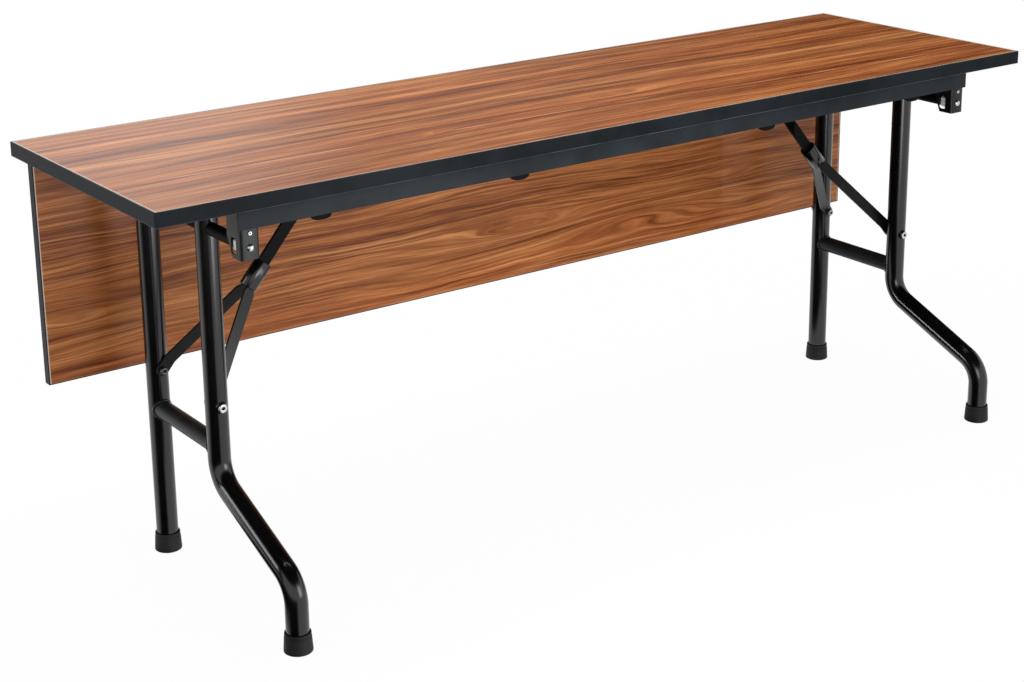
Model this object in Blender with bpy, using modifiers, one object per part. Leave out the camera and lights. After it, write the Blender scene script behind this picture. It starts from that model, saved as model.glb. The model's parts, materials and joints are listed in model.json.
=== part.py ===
"""Folding banquet table: laminate top with a front panel, two tubular leg frames and their lock braces."""

import math

import bmesh
import bpy
from mathutils import Matrix, Vector

# All sizes are in metres, X along the table, Y towards the panel, Z up

# Gaps between pieces
GAP = 0.0003
RUNNING_GAP = 0.0004
OPEN_PIVOT_GAP = 0.0005

# Top
TOP_LENGTH = 1.93
TOP_DEPTH = 0.56
TABLE_HEIGHT = 0.74
TOP_THICKNESS = 0.0255
LAMINATE_THICKNESS = 0.001
BACKER_THICKNESS = 0.0008
EDGE_BAND_THICKNESS = 0.0022
EDGE_BAND_ROUND = 0.0006

# Panel
PANEL_LENGTH = 1.916
PANEL_DROP = 0.4
PANEL_THICKNESS = 0.018
PANEL_SETBACK = 0.0535
PANEL_BAND_THICKNESS = 0.0016

# Rails of folded steel angle
FRONT_RAIL_SETBACK = 0.011
RAIL_OVERHANG = 0.004
RAIL_HEIGHT = 0.032
RAIL_FLANGE = 0.024
RAIL_STEEL = 0.002
RAIL_BEND = 0.004

# Bumpers on the front rail
BUMPER_WIDTH = 0.035
BUMPER_BELOW = 0.008
BUMPER_LIP = 0.0016
BUMPER_LIP_RISE = 0.004
BUMPER_BACK = 0.010
BUMPER_BACK_RISE = 0.014
BUMPER_INNER_X = 0.284
BUMPER_FROM_LEG = 0.129

# Leg frames
LEG_INSET = 0.163
FRAME_WIDTH = 0.2226
FRAME_CENTRE_Y = -0.0075
FOOT_FORWARD = 0.2429
LEG_TUBE_DIAMETER = 0.0385
LEG_TUBE_WALL = 0.0018
LEG_TOP_RISE = 0.0195
BEND_HIGH_Z = 0.215
BEND_LOW_Z = 0.115
BEND_RADIUS = 0.055
CROSSBAR_Z = 0.271
CROSSBAR_DIAMETER = 0.032
CROSSBAR_WALL = 0.0016

# Ferrules
FERRULE_HEIGHT = 0.034
FERRULE_TOP_WALL = 0.0024
FERRULE_BASE_WALL = 0.0046
FERRULE_FLOOR = 0.0042
FERRULE_ROUND = 0.002

# Pivots of the leg frames
PIVOT_DROP = 0.0625
PIVOT_TUBE_DIAMETER = 0.022
PIVOT_TUBE_WALL = 0.0025
BRACKET_WIDTH = 0.033
BRACKET_DEPTH = 0.045
BRACKET_STEEL = 0.0025
BRACKET_BELOW_PIVOT = 0.02
BRACKET_ROUND = 0.004
BRACKET_SLANT = 0.014
BRACKET_SLANT_RISE = 0.034
SLOT_WIDTH = 0.016
SLOT_HEIGHT = 0.027
SLOT_FROM_FRONT = 0.0165
SLOT_ROUND = 0.004
PIVOT_BOLT_DIAMETER = 0.009
PIVOT_DOME_DIAMETER = 0.0125
PIVOT_DOME_HEIGHT = 0.0045
PIVOT_NUT_ACROSS_FLATS = 0.017
PIVOT_NUT_LENGTH = 0.013
PIVOT_COLLAR_DIAMETER = 0.0225
PIVOT_COLLAR_LENGTH = 0.003
PIVOT_SPACER_LENGTH = 0.0135
PIVOT_STUD_LENGTH = 0.022
SCREW_ABOVE_PIVOT = 0.0235
SCREW_HEAD_DIAMETER = 0.0076
SCREW_HEAD_HEIGHT = 0.0022
SCREW_DIAMETER = 0.0045
SCREW_REACH = 0.004

# Lock braces
BRACE_LEG_Z = 0.345
BRACE_REACH = 0.291
BRACE_TOP_DROP = 0.0245
ELBOW_SHARE = 0.516
UPPER_BAR_WIDTH = 0.022
UPPER_BAR_THICKNESS = 0.006
LOWER_BAR_WIDTH = 0.022
LOWER_BAR_NECK_WIDTH = 0.014
LOWER_BAR_THICKNESS = 0.0042
LOWER_BAR_LEG_PAD = 0.024
LOWER_BAR_TAPER = 0.008
SLEEVE_LENGTH = 0.05
SLEEVE_BELOW_ELBOW = 0.037
SLEEVE_INNER_WIDTH = 0.0284
SLEEVE_INNER_DEPTH = 0.024
SLEEVE_INNER_ROUND = 0.0055
SLEEVE_WALL = 0.0018
RIVET_DIAMETER = 0.008
RIVET_HEAD_DIAMETER = 0.0135
RIVET_HEAD_HEIGHT = 0.0022
BRACE_BOLT_DIAMETER = 0.008
BRACE_BOLT_HEAD_DIAMETER = 0.0155
BRACE_BOLT_HEAD_HEIGHT = 0.0055
BRACE_SOCKET_ACROSS_FLATS = 0.006
BRACE_SOCKET_DEPTH = 0.003
BRACE_NUT_ACROSS_FLATS = 0.013
BRACE_NUT_HEIGHT = 0.0065
BRACE_BRACKET_LENGTH = 0.036
BRACE_BRACKET_FLANGE = 0.05
BRACE_BRACKET_STEEL = 0.003
BRACE_BRACKET_BELOW_PIN = 0.0105
BRACE_BRACKET_SIDE_GAP = 0.0006

# Facets of round pieces
TUBE_SIDES = 20
SMALL_SIDES = 12
BEND_STEPS = 6
ARC_STEPS = 3

# Places that follow from the sizes
UNDERSIDE_Z = TABLE_HEIGHT - TOP_THICKNESS
PIVOT_Z = UNDERSIDE_Z - PIVOT_DROP
RAIL_TOP_Z = UNDERSIDE_Z - GAP
RAIL_BOTTOM_Z = RAIL_TOP_Z - RAIL_HEIGHT
PANEL_FRONT_Y = TOP_DEPTH / 2 - PANEL_SETBACK - PANEL_THICKNESS
FRONT_RAIL_Y = FRONT_RAIL_SETBACK - TOP_DEPTH / 2
REAR_RAIL_Y = PANEL_FRONT_Y - GAP
LEG_X = TOP_LENGTH / 2 - LEG_INSET
BUMPER_OUTER_X = LEG_X - BUMPER_FROM_LEG
BRACE_TOP_X = LEG_X - BRACE_REACH
REAR_TUBE_Y = FRAME_CENTRE_Y + FRAME_WIDTH / 2
FRONT_TUBE_Y = FRAME_CENTRE_Y - FRAME_WIDTH / 2
FRONT_FOOT_Y = FRONT_TUBE_Y - FOOT_FORWARD
LEG_RADIUS = LEG_TUBE_DIAMETER / 2
FERRULE_BORE = LEG_RADIUS + GAP
FERRULE_BASE = FERRULE_BORE + FERRULE_BASE_WALL
TUBE_FOOT_Z = FERRULE_FLOOR + GAP
BRACE_TOP_Z = UNDERSIDE_Z - BRACE_TOP_DROP
FRONT_REACH = min(-TOP_DEPTH / 2, FRONT_FOOT_Y - FERRULE_BASE)
CENTRE_Y = (TOP_DEPTH / 2 + FRONT_REACH) / 2

table = bpy.data.collections.new("banquet_table")
cutters = bpy.data.collections.new("cutters")
materials = {}
places = {}


def clear_scene():
    for obj in list(bpy.data.objects):
        bpy.data.objects.remove(obj, do_unlink=True)
    bpy.context.scene.collection.children.link(table)
    bpy.context.scene.collection.children.link(cutters)
    cutters.hide_render = True


def make_material(name, colour, roughness, metallic=0.0):
    material = bpy.data.materials.new(name)
    material.use_nodes = True
    shader = material.node_tree.nodes["Principled BSDF"]
    shader.inputs["Base Color"].default_value = (*colour, 1.0)
    shader.inputs["Roughness"].default_value = roughness
    shader.inputs["Metallic"].default_value = metallic
    material.diffuse_color = (*colour, 1.0)
    materials[name] = material


def make_materials():
    make_material("walnut_laminate", (0.22, 0.085, 0.045), 0.38)
    make_material("core_board", (0.36, 0.24, 0.14), 0.8)
    make_material("backer", (0.05, 0.045, 0.04), 0.6)
    make_material("black_edge", (0.012, 0.012, 0.013), 0.35)
    make_material("charcoal_steel", (0.03, 0.032, 0.038), 0.4)
    make_material("black_powder_coat", (0.010, 0.010, 0.011), 0.22)
    make_material("black_rubber", (0.016, 0.017, 0.02), 0.7)
    make_material("zinc_steel", (0.62, 0.62, 0.6), 0.3, 1.0)
    make_material("dark_steel", (0.05, 0.05, 0.055), 0.4, 0.8)


# Frames of reference


def axes(first, second, at):
    """A frame with its X along first, its Y along second and its origin at the point."""
    first = Vector(first).normalized()
    second = Vector(second).normalized()
    third = first.cross(second)
    matrix = Matrix((first, second, third)).transposed().to_4x4()
    matrix.translation = Vector(at)
    return matrix


def along_y(direction, at):
    """A frame with its Z along +Y or -Y."""
    return axes((1, 0, 0), (0, 0, -direction), at)


def upright(at):
    return axes((1, 0, 0), (0, 1, 0), at)


def section_yz(at):
    """A frame for a section drawn in Y and Z and run along X."""
    return axes((0, 1, 0), (0, 0, 1), at)


def add_empty(name, at, parent=None):
    empty = bpy.data.objects.new(name, None)
    empty.empty_display_size = 0.05
    table.objects.link(empty)
    empty.parent = parent
    base = places[parent.name] if parent else Vector((0, 0, 0))
    empty.location = Vector(at) - base
    places[name] = Vector(at)
    return empty


def place(obj, matrix, parent):
    obj.parent = parent
    obj.matrix_local = Matrix.Translation(-places[parent.name]) @ matrix


def add_part(name, mesh, material, matrix, parent):
    obj = bpy.data.objects.new(name, mesh)
    mesh.materials.append(materials[material])
    table.objects.link(obj)
    place(obj, matrix, parent)
    return obj


def add_cutter(name, mesh, matrix, parent):
    obj = bpy.data.objects.new(name, mesh)
    cutters.objects.link(obj)
    place(obj, matrix, parent)
    obj.hide_render = True
    obj.display_type = "WIRE"
    return obj


def combine(obj, other, operation="DIFFERENCE"):
    modifier = obj.modifiers.new(other.name, "BOOLEAN")
    modifier.operation = operation
    modifier.solver = "EXACT"
    modifier.object = other


# Basic shapes


def smooth(mesh):
    mesh.shade_smooth()
    mesh.set_sharp_from_angle(angle=math.radians(35))


def box_mesh(name, size):
    mesh = bpy.data.meshes.new(name)
    bm = bmesh.new()
    bmesh.ops.create_cube(bm, size=1.0, matrix=Matrix.Diagonal((*size, 1.0)))
    bm.to_mesh(mesh)
    bm.free()
    return mesh


def rod_mesh(name, radius, length, sides):
    """A rod along Z with its middle at the origin."""
    mesh = bpy.data.meshes.new(name)
    bm = bmesh.new()
    bmesh.ops.create_cone(
        bm, cap_ends=True, segments=sides, radius1=radius, radius2=radius, depth=length
    )
    bm.to_mesh(mesh)
    bm.free()
    smooth(mesh)
    return mesh


def hexagon_mesh(name, across_flats, length):
    return rod_mesh(name, across_flats / math.sqrt(3), length, 6)


def turned_mesh(name, profile):
    """A profile of (radius, height) points, from the top down its outer side."""
    mesh = bpy.data.meshes.new(name)
    bm = bmesh.new()
    last = None
    for radius, height in profile:
        vert = bm.verts.new((radius, 0, height))
        if last:
            bm.edges.new((last, vert))
        last = vert
    bm.to_mesh(mesh)
    bm.free()
    return mesh


def turn(obj, sides):
    screw = obj.modifiers.new("turned", "SCREW")
    screw.steps = sides
    screw.render_steps = sides
    screw.use_merge_vertices = True
    screw.merge_threshold = 0.00005


def curve_to_mesh(name, curve, caps=False):
    """The mesh of a curve, welded, with its flat ends closed by one face each where it has caps."""
    guide = bpy.data.objects.new(name, curve)
    bpy.context.scene.collection.objects.link(guide)
    graph = bpy.context.evaluated_depsgraph_get()
    mesh = bpy.data.meshes.new_from_object(guide.evaluated_get(graph))
    mesh.name = name
    bpy.data.objects.remove(guide, do_unlink=True)
    bm = bmesh.new()
    bm.from_mesh(mesh)
    bmesh.ops.remove_doubles(bm, verts=bm.verts, dist=0.00001)
    if caps:
        edges = [edge for edge in bm.edges if edge.is_boundary]
        bmesh.ops.holes_fill(bm, edges=edges, sides=0)
    bmesh.ops.recalc_face_normals(bm, faces=bm.faces)
    bm.to_mesh(mesh)
    bm.free()
    mesh.materials.clear()
    smooth(mesh)
    return mesh


def poly_spline(curve, points, cyclic):
    spline = curve.splines.new("POLY")
    spline.points.add(len(points) - 1)
    for point, place_at in zip(spline.points, points):
        point.co = (*place_at, 1.0)
    spline.use_cyclic_u = cyclic


def flat_mesh(name, outline, thickness):
    """A filled outline in X and Y, half its thickness to each side in Z."""
    curve = bpy.data.curves.new(name, "CURVE")
    curve.dimensions = "2D"
    curve.fill_mode = "NONE"
    curve.extrude = thickness / 2
    poly_spline(curve, [(x, y, 0.0) for x, y in outline], True)
    return curve_to_mesh(name, curve, caps=True)


def pipe_mesh(name, path, radius, sides):
    """The open outer skin of a pipe along a path."""
    curve = bpy.data.curves.new(name, "CURVE")
    curve.dimensions = "3D"
    curve.bevel_depth = radius
    curve.bevel_resolution = sides // 2 - 2
    curve.use_fill_caps = False
    poly_spline(curve, [tuple(point) for point in path], False)
    return curve_to_mesh(name, curve)


def give_wall(obj, wall):
    solid = obj.modifiers.new("wall", "SOLIDIFY")
    solid.thickness = wall
    solid.offset = -1.0
    solid.use_even_offset = True
    solid.use_rim = True


def arc(centre, radius, start, end, steps):
    """Points along an arc, with its angles in degrees."""
    points = []
    for step in range(steps + 1):
        angle = math.radians(start + (end - start) * step / steps)
        points.append((centre[0] + radius * math.cos(angle), centre[1] + radius * math.sin(angle)))
    return points


def rounded_rectangle(width, height, radius):
    x = width / 2 - radius
    y = height / 2 - radius
    points = []
    for number, (side_x, side_y) in enumerate([(1, 1), (-1, 1), (-1, -1), (1, -1)]):
        corner = (side_x * x, side_y * y)
        points += arc(corner, radius, 90 * number, 90 * number + 90, ARC_STEPS)
    return points


def round_bends(corners, radius, steps):
    """A path through the corners with each inner corner turned into an arc."""
    path = [Vector(corners[0])]
    for before, corner, after in zip(corners, corners[1:], corners[2:]):
        corner = Vector(corner)
        back = (Vector(before) - corner).normalized()
        ahead = (Vector(after) - corner).normalized()
        half = back.angle(ahead) / 2
        middle = corner + (back + ahead).normalized() * (radius / math.sin(half))
        start = (corner + back * (radius / math.tan(half)) - middle).normalized()
        end = (corner + ahead * (radius / math.tan(half)) - middle).normalized()
        for step in range(steps + 1):
            path.append(middle + start.slerp(end, step / steps) * radius)
    path.append(Vector(corners[-1]))
    return path


def add_box(name, size, centre, material, parent):
    return add_part(name, box_mesh(name, size), material, upright(centre), parent)


def add_rounding(obj, width, segments=2):
    bevel = obj.modifiers.new("rounding", "BEVEL")
    bevel.width = width
    bevel.segments = segments
    bevel.limit_method = "ANGLE"


def cut_hole(obj, name, radius, length, matrix, parent):
    combine(obj, add_cutter(name, rod_mesh(name, radius, length, SMALL_SIDES), matrix, parent))


# Top


def build_top(root):
    inside_x = TOP_LENGTH - 2 * (EDGE_BAND_THICKNESS + GAP)
    inside_y = TOP_DEPTH - 2 * (EDGE_BAND_THICKNESS + GAP)
    core_top = TABLE_HEIGHT - LAMINATE_THICKNESS - GAP
    core_bottom = UNDERSIDE_Z + BACKER_THICKNESS + GAP
    core_middle = (0, 0, (core_top + core_bottom) / 2)
    add_box("top_core", (inside_x, inside_y, core_top - core_bottom), core_middle, "core_board", root)
    laminate_middle = (0, 0, TABLE_HEIGHT - LAMINATE_THICKNESS / 2)
    laminate_size = (inside_x, inside_y, LAMINATE_THICKNESS)
    add_box("top_laminate", laminate_size, laminate_middle, "walnut_laminate", root)
    backer_middle = (0, 0, UNDERSIDE_Z + BACKER_THICKNESS / 2)
    add_box("top_backer", (inside_x, inside_y, BACKER_THICKNESS), backer_middle, "backer", root)
    band_z = UNDERSIDE_Z + TOP_THICKNESS / 2
    for side, name in ((-1, "left"), (1, "right")):
        x = side * (TOP_LENGTH - EDGE_BAND_THICKNESS) / 2
        size = (EDGE_BAND_THICKNESS, inside_y, TOP_THICKNESS)
        band = add_box(f"{name}_edge_band", size, (x, 0, band_z), "black_edge", root)
        add_rounding(band, EDGE_BAND_ROUND)
    for side, name in ((-1, "front"), (1, "rear")):
        y = side * (TOP_DEPTH - EDGE_BAND_THICKNESS) / 2
        size = (TOP_LENGTH, EDGE_BAND_THICKNESS, TOP_THICKNESS)
        band = add_box(f"{name}_edge_band", size, (0, y, band_z), "black_edge", root)
        add_rounding(band, EDGE_BAND_ROUND)


def build_panel(root):
    top = UNDERSIDE_Z - GAP
    bottom = UNDERSIDE_Z - PANEL_DROP
    half = PANEL_LENGTH / 2
    middle_y = PANEL_FRONT_Y + PANEL_THICKNESS / 2
    inset = PANEL_BAND_THICKNESS + GAP
    board_size = (2 * (half - inset), PANEL_THICKNESS, top - bottom - inset)
    board_middle = (0, middle_y, (top + bottom + inset) / 2)
    add_box("panel_board", board_size, board_middle, "walnut_laminate", root)
    inner = half - PANEL_BAND_THICKNESS
    inner_bottom = bottom + PANEL_BAND_THICKNESS
    outline = [
        (-half, top),
        (-half, bottom),
        (half, bottom),
        (half, top),
        (inner, top),
        (inner, inner_bottom),
        (-inner, inner_bottom),
        (-inner, top),
    ]
    mesh = flat_mesh("panel_edge_band", outline, PANEL_THICKNESS)
    frame = axes((1, 0, 0), (0, 0, 1), (0, middle_y, 0))
    add_part("panel_edge_band", mesh, "black_edge", frame, root)


# Rails and bumpers


def rail_length():
    return 2 * LEG_X + BRACKET_WIDTH + 2 * RAIL_OVERHANG


def build_rail(name, face_y, inward, root):
    bend = (face_y + inward * RAIL_BEND, RAIL_TOP_Z - RAIL_BEND)
    outline = [
        (face_y, RAIL_BOTTOM_Z),
        (face_y + inward * RAIL_STEEL, RAIL_BOTTOM_Z),
        (face_y + inward * RAIL_STEEL, RAIL_TOP_Z - RAIL_STEEL),
        (face_y + inward * RAIL_FLANGE, RAIL_TOP_Z - RAIL_STEEL),
        (face_y + inward * RAIL_FLANGE, RAIL_TOP_Z),
    ]
    turn_to = 180 if inward > 0 else 0
    outline += arc(bend, RAIL_BEND, 90, turn_to, ARC_STEPS)
    mesh = flat_mesh(name, outline, rail_length())
    add_part(name, mesh, "charcoal_steel", section_yz((0, 0, 0)), root)


def build_bumpers(root):
    front = FRONT_RAIL_Y - GAP
    back = FRONT_RAIL_Y + RAIL_STEEL + GAP
    seat = RAIL_BOTTOM_Z - GAP
    bottom = RAIL_BOTTOM_Z - BUMPER_BELOW
    outline = [
        (front - BUMPER_LIP, bottom),
        (back + BUMPER_BACK, bottom),
        (back + BUMPER_BACK, seat + BUMPER_BACK_RISE),
        (back, seat + BUMPER_BACK_RISE),
        (back, seat),
        (front, seat),
        (front, seat + BUMPER_LIP_RISE),
        (front - BUMPER_LIP, seat + BUMPER_LIP_RISE),
    ]
    for side, label in ((-1, "left"), (1, "right")):
        for x, spot in ((BUMPER_OUTER_X, "outer"), (BUMPER_INNER_X, "inner")):
            name = f"{label}_{spot}_bumper"
            mesh = flat_mesh(name, outline, BUMPER_WIDTH)
            add_part(name, mesh, "black_rubber", section_yz((side * x, 0, 0)), root)


# Leg pivots


def bracket_plate_y(face_y, inward):
    """The outer face of a pivot bracket's plate, behind its rail. At the rear the bolt's dome clears the panel."""
    room = RAIL_STEEL if inward > 0 else max(RAIL_STEEL, PIVOT_DOME_HEIGHT)
    return face_y + inward * (room + GAP)


def pivot_nut_start():
    return BRACKET_STEEL + GAP


def pivot_tube_start():
    """How far the pivot tube's end lies behind the bracket's plate."""
    return pivot_nut_start() + PIVOT_NUT_LENGTH + PIVOT_COLLAR_LENGTH + PIVOT_SPACER_LENGTH + GAP


def build_bracket(name, x, face_y, inward, root):
    plate_y = bracket_plate_y(face_y, inward)
    top = RAIL_TOP_Z - RAIL_STEEL - GAP
    bottom = PIVOT_Z - BRACKET_BELOW_PIVOT
    half = BRACKET_WIDTH / 2
    frame = axes((inward, 0, 0), (0, inward, 0), (x, plate_y, (top + bottom) / 2))
    outer = [(half, BRACKET_DEPTH), (-half, BRACKET_DEPTH)]
    outer += arc((BRACKET_ROUND - half, BRACKET_ROUND), BRACKET_ROUND, 180, 270, ARC_STEPS)
    outer += arc((half - BRACKET_ROUND, BRACKET_ROUND), BRACKET_ROUND, 270, 360, ARC_STEPS)
    mesh = flat_mesh(name, outer, top - bottom)
    bracket = add_part(name, mesh, "black_powder_coat", frame, root)
    inside = half - BRACKET_STEEL
    radius = max(BRACKET_ROUND - BRACKET_STEEL, GAP)
    past = BRACKET_DEPTH + BRACKET_STEEL
    hollow = [(inside, past), (-inside, past)]
    hollow += arc((radius - inside, BRACKET_STEEL + radius), radius, 180, 270, ARC_STEPS)
    hollow += arc((inside - radius, BRACKET_STEEL + radius), radius, 270, 360, ARC_STEPS)
    hollow_mesh = flat_mesh(f"{name}_hollow", hollow, top - bottom)
    lower = frame @ Matrix.Translation((0, 0, -BRACKET_STEEL))
    combine(bracket, add_cutter(f"{name}_hollow", hollow_mesh, lower, root))
    cut_bracket_slot(bracket, name, x, plate_y, inward, root)
    cut_bracket_slant(bracket, name, x, plate_y, inward, bottom, root)
    hole = along_y(inward, (x, plate_y + inward * BRACKET_STEEL / 2, PIVOT_Z))
    radius = PIVOT_BOLT_DIAMETER / 2 + GAP
    cut_hole(bracket, f"{name}_bolt_hole", radius, 2 * BRACKET_STEEL, hole, root)
    return bracket


def cut_bracket_slot(bracket, name, x, plate_y, inward, root):
    slot = rounded_rectangle(SLOT_WIDTH, SLOT_HEIGHT, SLOT_ROUND)
    mesh = flat_mesh(f"{name}_slot", slot, BRACKET_WIDTH * 2)
    middle = plate_y + inward * (SLOT_FROM_FRONT + SLOT_WIDTH / 2)
    combine(bracket, add_cutter(f"{name}_slot", mesh, section_yz((x, middle, PIVOT_Z)), root))


def cut_bracket_slant(bracket, name, x, plate_y, inward, bottom, root):
    """The cheeks' rear edges run forward to their lower corners."""
    slope = BRACKET_SLANT / BRACKET_SLANT_RISE
    past = BRACKET_SLANT
    high = bottom + BRACKET_SLANT_RISE + past
    low = bottom - past
    outline = [
        (plate_y + inward * (BRACKET_DEPTH + slope * past), high),
        (plate_y + inward * (BRACKET_DEPTH - BRACKET_SLANT - slope * past), low),
        (plate_y + inward * (BRACKET_DEPTH + BRACKET_SLANT), low),
        (plate_y + inward * (BRACKET_DEPTH + BRACKET_SLANT), high),
    ]
    mesh = flat_mesh(f"{name}_slant", outline, BRACKET_WIDTH * 2)
    combine(bracket, add_cutter(f"{name}_slant", mesh, section_yz((x, 0, 0)), root))


def build_pivot_bolt(name, x, face_y, inward, root):
    """Domed end on the plate, then nut, collar, spacer and a stud inside the pivot tube."""
    shank = PIVOT_BOLT_DIAMETER / 2
    stud = PIVOT_TUBE_DIAMETER / 2 - PIVOT_TUBE_WALL - RUNNING_GAP
    collar = PIVOT_COLLAR_DIAMETER / 2
    dome = PIVOT_DOME_DIAMETER / 2
    nut_end = pivot_nut_start() + PIVOT_NUT_LENGTH
    collar_end = nut_end + PIVOT_COLLAR_LENGTH
    stud_end = pivot_tube_start() + PIVOT_STUD_LENGTH
    profile = [
        (0, stud_end),
        (stud, stud_end),
        (stud, collar_end),
        (collar, collar_end),
        (collar, nut_end),
        (shank, nut_end),
        (shank, -GAP),
        (dome, -GAP),
    ]
    rise = PIVOT_DOME_HEIGHT - GAP
    for step in range(1, ARC_STEPS):
        angle = math.pi / 2 * step / ARC_STEPS
        profile.append((dome * math.cos(angle), -GAP - rise * math.sin(angle)))
    profile.append((0, -PIVOT_DOME_HEIGHT))
    frame = along_y(inward, (x, bracket_plate_y(face_y, inward), PIVOT_Z))
    bolt = add_part(name, turned_mesh(name, profile), "zinc_steel", frame, root)
    turn(bolt, SMALL_SIDES)
    mesh = hexagon_mesh(f"{name}_nut", PIVOT_NUT_ACROSS_FLATS, PIVOT_NUT_LENGTH + PIVOT_COLLAR_LENGTH / 2)
    middle = pivot_nut_start() + (PIVOT_NUT_LENGTH + PIVOT_COLLAR_LENGTH / 2) / 2
    nut = add_cutter(f"{name}_nut", mesh, frame @ Matrix.Translation((0, 0, middle)), root)
    combine(bolt, nut, "UNION")


def build_bracket_screw(name, bracket, x, root):
    plate_y = bracket_plate_y(FRONT_RAIL_Y, 1)
    at = (x, plate_y, PIVOT_Z + SCREW_ABOVE_PIVOT)
    shank = SCREW_DIAMETER / 2
    head = SCREW_HEAD_DIAMETER / 2
    end = BRACKET_STEEL + SCREW_REACH
    profile = [
        (0, end),
        (shank, end),
        (shank, -GAP),
        (head, -GAP),
        (head, -SCREW_HEAD_HEIGHT / 2),
        (head * 0.7, -SCREW_HEAD_HEIGHT),
        (0, -SCREW_HEAD_HEIGHT),
    ]
    screw = add_part(name, turned_mesh(name, profile), "zinc_steel", along_y(1, at), root)
    turn(screw, SMALL_SIDES)
    hole = along_y(1, (x, plate_y + BRACKET_STEEL / 2, at[2]))
    cut_hole(bracket, f"{name}_hole", shank + GAP, 2 * BRACKET_STEEL, hole, root)


def build_pivots(side, label, root):
    x = side * LEG_X
    front = build_bracket(f"{label}_front_bracket", x, FRONT_RAIL_Y, 1, root)
    build_bracket(f"{label}_rear_bracket", x, REAR_RAIL_Y, -1, root)
    build_pivot_bolt(f"{label}_front_pivot_bolt", x, FRONT_RAIL_Y, 1, root)
    build_pivot_bolt(f"{label}_rear_pivot_bolt", x, REAR_RAIL_Y, -1, root)
    build_bracket_screw(f"{label}_bracket_screw", front, x, root)


# Leg frames


def build_leg_tube(name, path, y, x, pivot):
    at = (x, y, PIVOT_Z)
    local = [(0, point[0] - y, point[1] - PIVOT_Z) for point in path]
    mesh = pipe_mesh(name, local, LEG_RADIUS, TUBE_SIDES)
    tube = add_part(name, mesh, "black_powder_coat", upright(at), pivot)
    give_wall(tube, LEG_TUBE_WALL)
    hole = PIVOT_TUBE_DIAMETER / 2 + GAP
    across = LEG_TUBE_DIAMETER * 2
    pivot_cut = rod_mesh(f"{name}_pivot_hole", hole, across, TUBE_SIDES)
    combine(tube, add_cutter(f"{name}_pivot_hole", pivot_cut, along_y(1, at), pivot))
    bolt_at = along_y(1, (x, y, BRACE_LEG_Z))
    cut_hole(tube, f"{name}_bolt_hole", BRACE_BOLT_DIAMETER / 2 + GAP, across, bolt_at, pivot)


def build_ferrule(name, x, y, pivot):
    top = FERRULE_BORE + FERRULE_TOP_WALL
    profile = [
        (0, FERRULE_FLOOR),
        (FERRULE_BORE, FERRULE_FLOOR),
        (FERRULE_BORE, FERRULE_HEIGHT),
        (top - FERRULE_ROUND / 2, FERRULE_HEIGHT),
        (top, FERRULE_HEIGHT - FERRULE_ROUND / 2),
        (FERRULE_BASE, FERRULE_ROUND),
        (FERRULE_BASE - FERRULE_ROUND, 0),
        (0, 0),
    ]
    ferrule = add_part(name, turned_mesh(name, profile), "black_rubber", upright((x, y, 0)), pivot)
    turn(ferrule, TUBE_SIDES)


def build_crossbar(name, x, pivot):
    at = (x, FRAME_CENTRE_Y, CROSSBAR_Z)
    path = [(0, -FRAME_WIDTH / 2, 0), (0, FRAME_WIDTH / 2, 0)]
    mesh = pipe_mesh(name, path, CROSSBAR_DIAMETER / 2, TUBE_SIDES)
    bar = add_part(name, mesh, "black_powder_coat", upright(at), pivot)
    give_wall(bar, CROSSBAR_WALL)
    for y, end in ((FRONT_TUBE_Y, "front"), (REAR_TUBE_Y, "rear")):
        cope = rod_mesh(f"{name}_{end}_cope", LEG_RADIUS + GAP, CROSSBAR_DIAMETER * 2, TUBE_SIDES)
        frame = upright((x, y, CROSSBAR_Z))
        combine(bar, add_cutter(f"{name}_{end}_cope", cope, frame, pivot))


def build_pivot_tube(name, x, pivot):
    start = bracket_plate_y(FRONT_RAIL_Y, 1) + pivot_tube_start()
    end = bracket_plate_y(REAR_RAIL_Y, -1) - pivot_tube_start()
    path = [(0, start, 0), (0, end, 0)]
    mesh = pipe_mesh(name, path, PIVOT_TUBE_DIAMETER / 2, TUBE_SIDES)
    tube = add_part(name, mesh, "black_powder_coat", upright((x, 0, PIVOT_Z)), pivot)
    give_wall(tube, PIVOT_TUBE_WALL)


def build_brace_bolt(name, x, y, outward, pivot):
    """Button head outside the tube and a shank that ends at the tube's inner face."""
    shank = BRACE_BOLT_DIAMETER / 2
    head = BRACE_BOLT_HEAD_DIAMETER / 2
    seat = LEG_RADIUS + GAP
    top = seat + BRACE_BOLT_HEAD_HEIGHT
    profile = [(0, top), (head * 0.5, top)]
    for step in range(1, ARC_STEPS):
        angle = math.pi / 2 * (1 - step / ARC_STEPS)
        rise = BRACE_BOLT_HEAD_HEIGHT * math.sin(angle)
        profile.append((head * (0.5 + 0.5 * math.cos(angle)), seat + rise))
    profile += [(head, seat), (shank, seat), (shank, GAP - LEG_RADIUS), (0, GAP - LEG_RADIUS)]
    frame = along_y(outward, (x, y, BRACE_LEG_Z))
    bolt = add_part(name, turned_mesh(name, profile), "zinc_steel", frame, pivot)
    turn(bolt, SMALL_SIDES)
    mesh = hexagon_mesh(f"{name}_socket", BRACE_SOCKET_ACROSS_FLATS, 2 * BRACE_SOCKET_DEPTH)
    combine(bolt, add_cutter(f"{name}_socket", mesh, frame @ Matrix.Translation((0, 0, top)), pivot))


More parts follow.
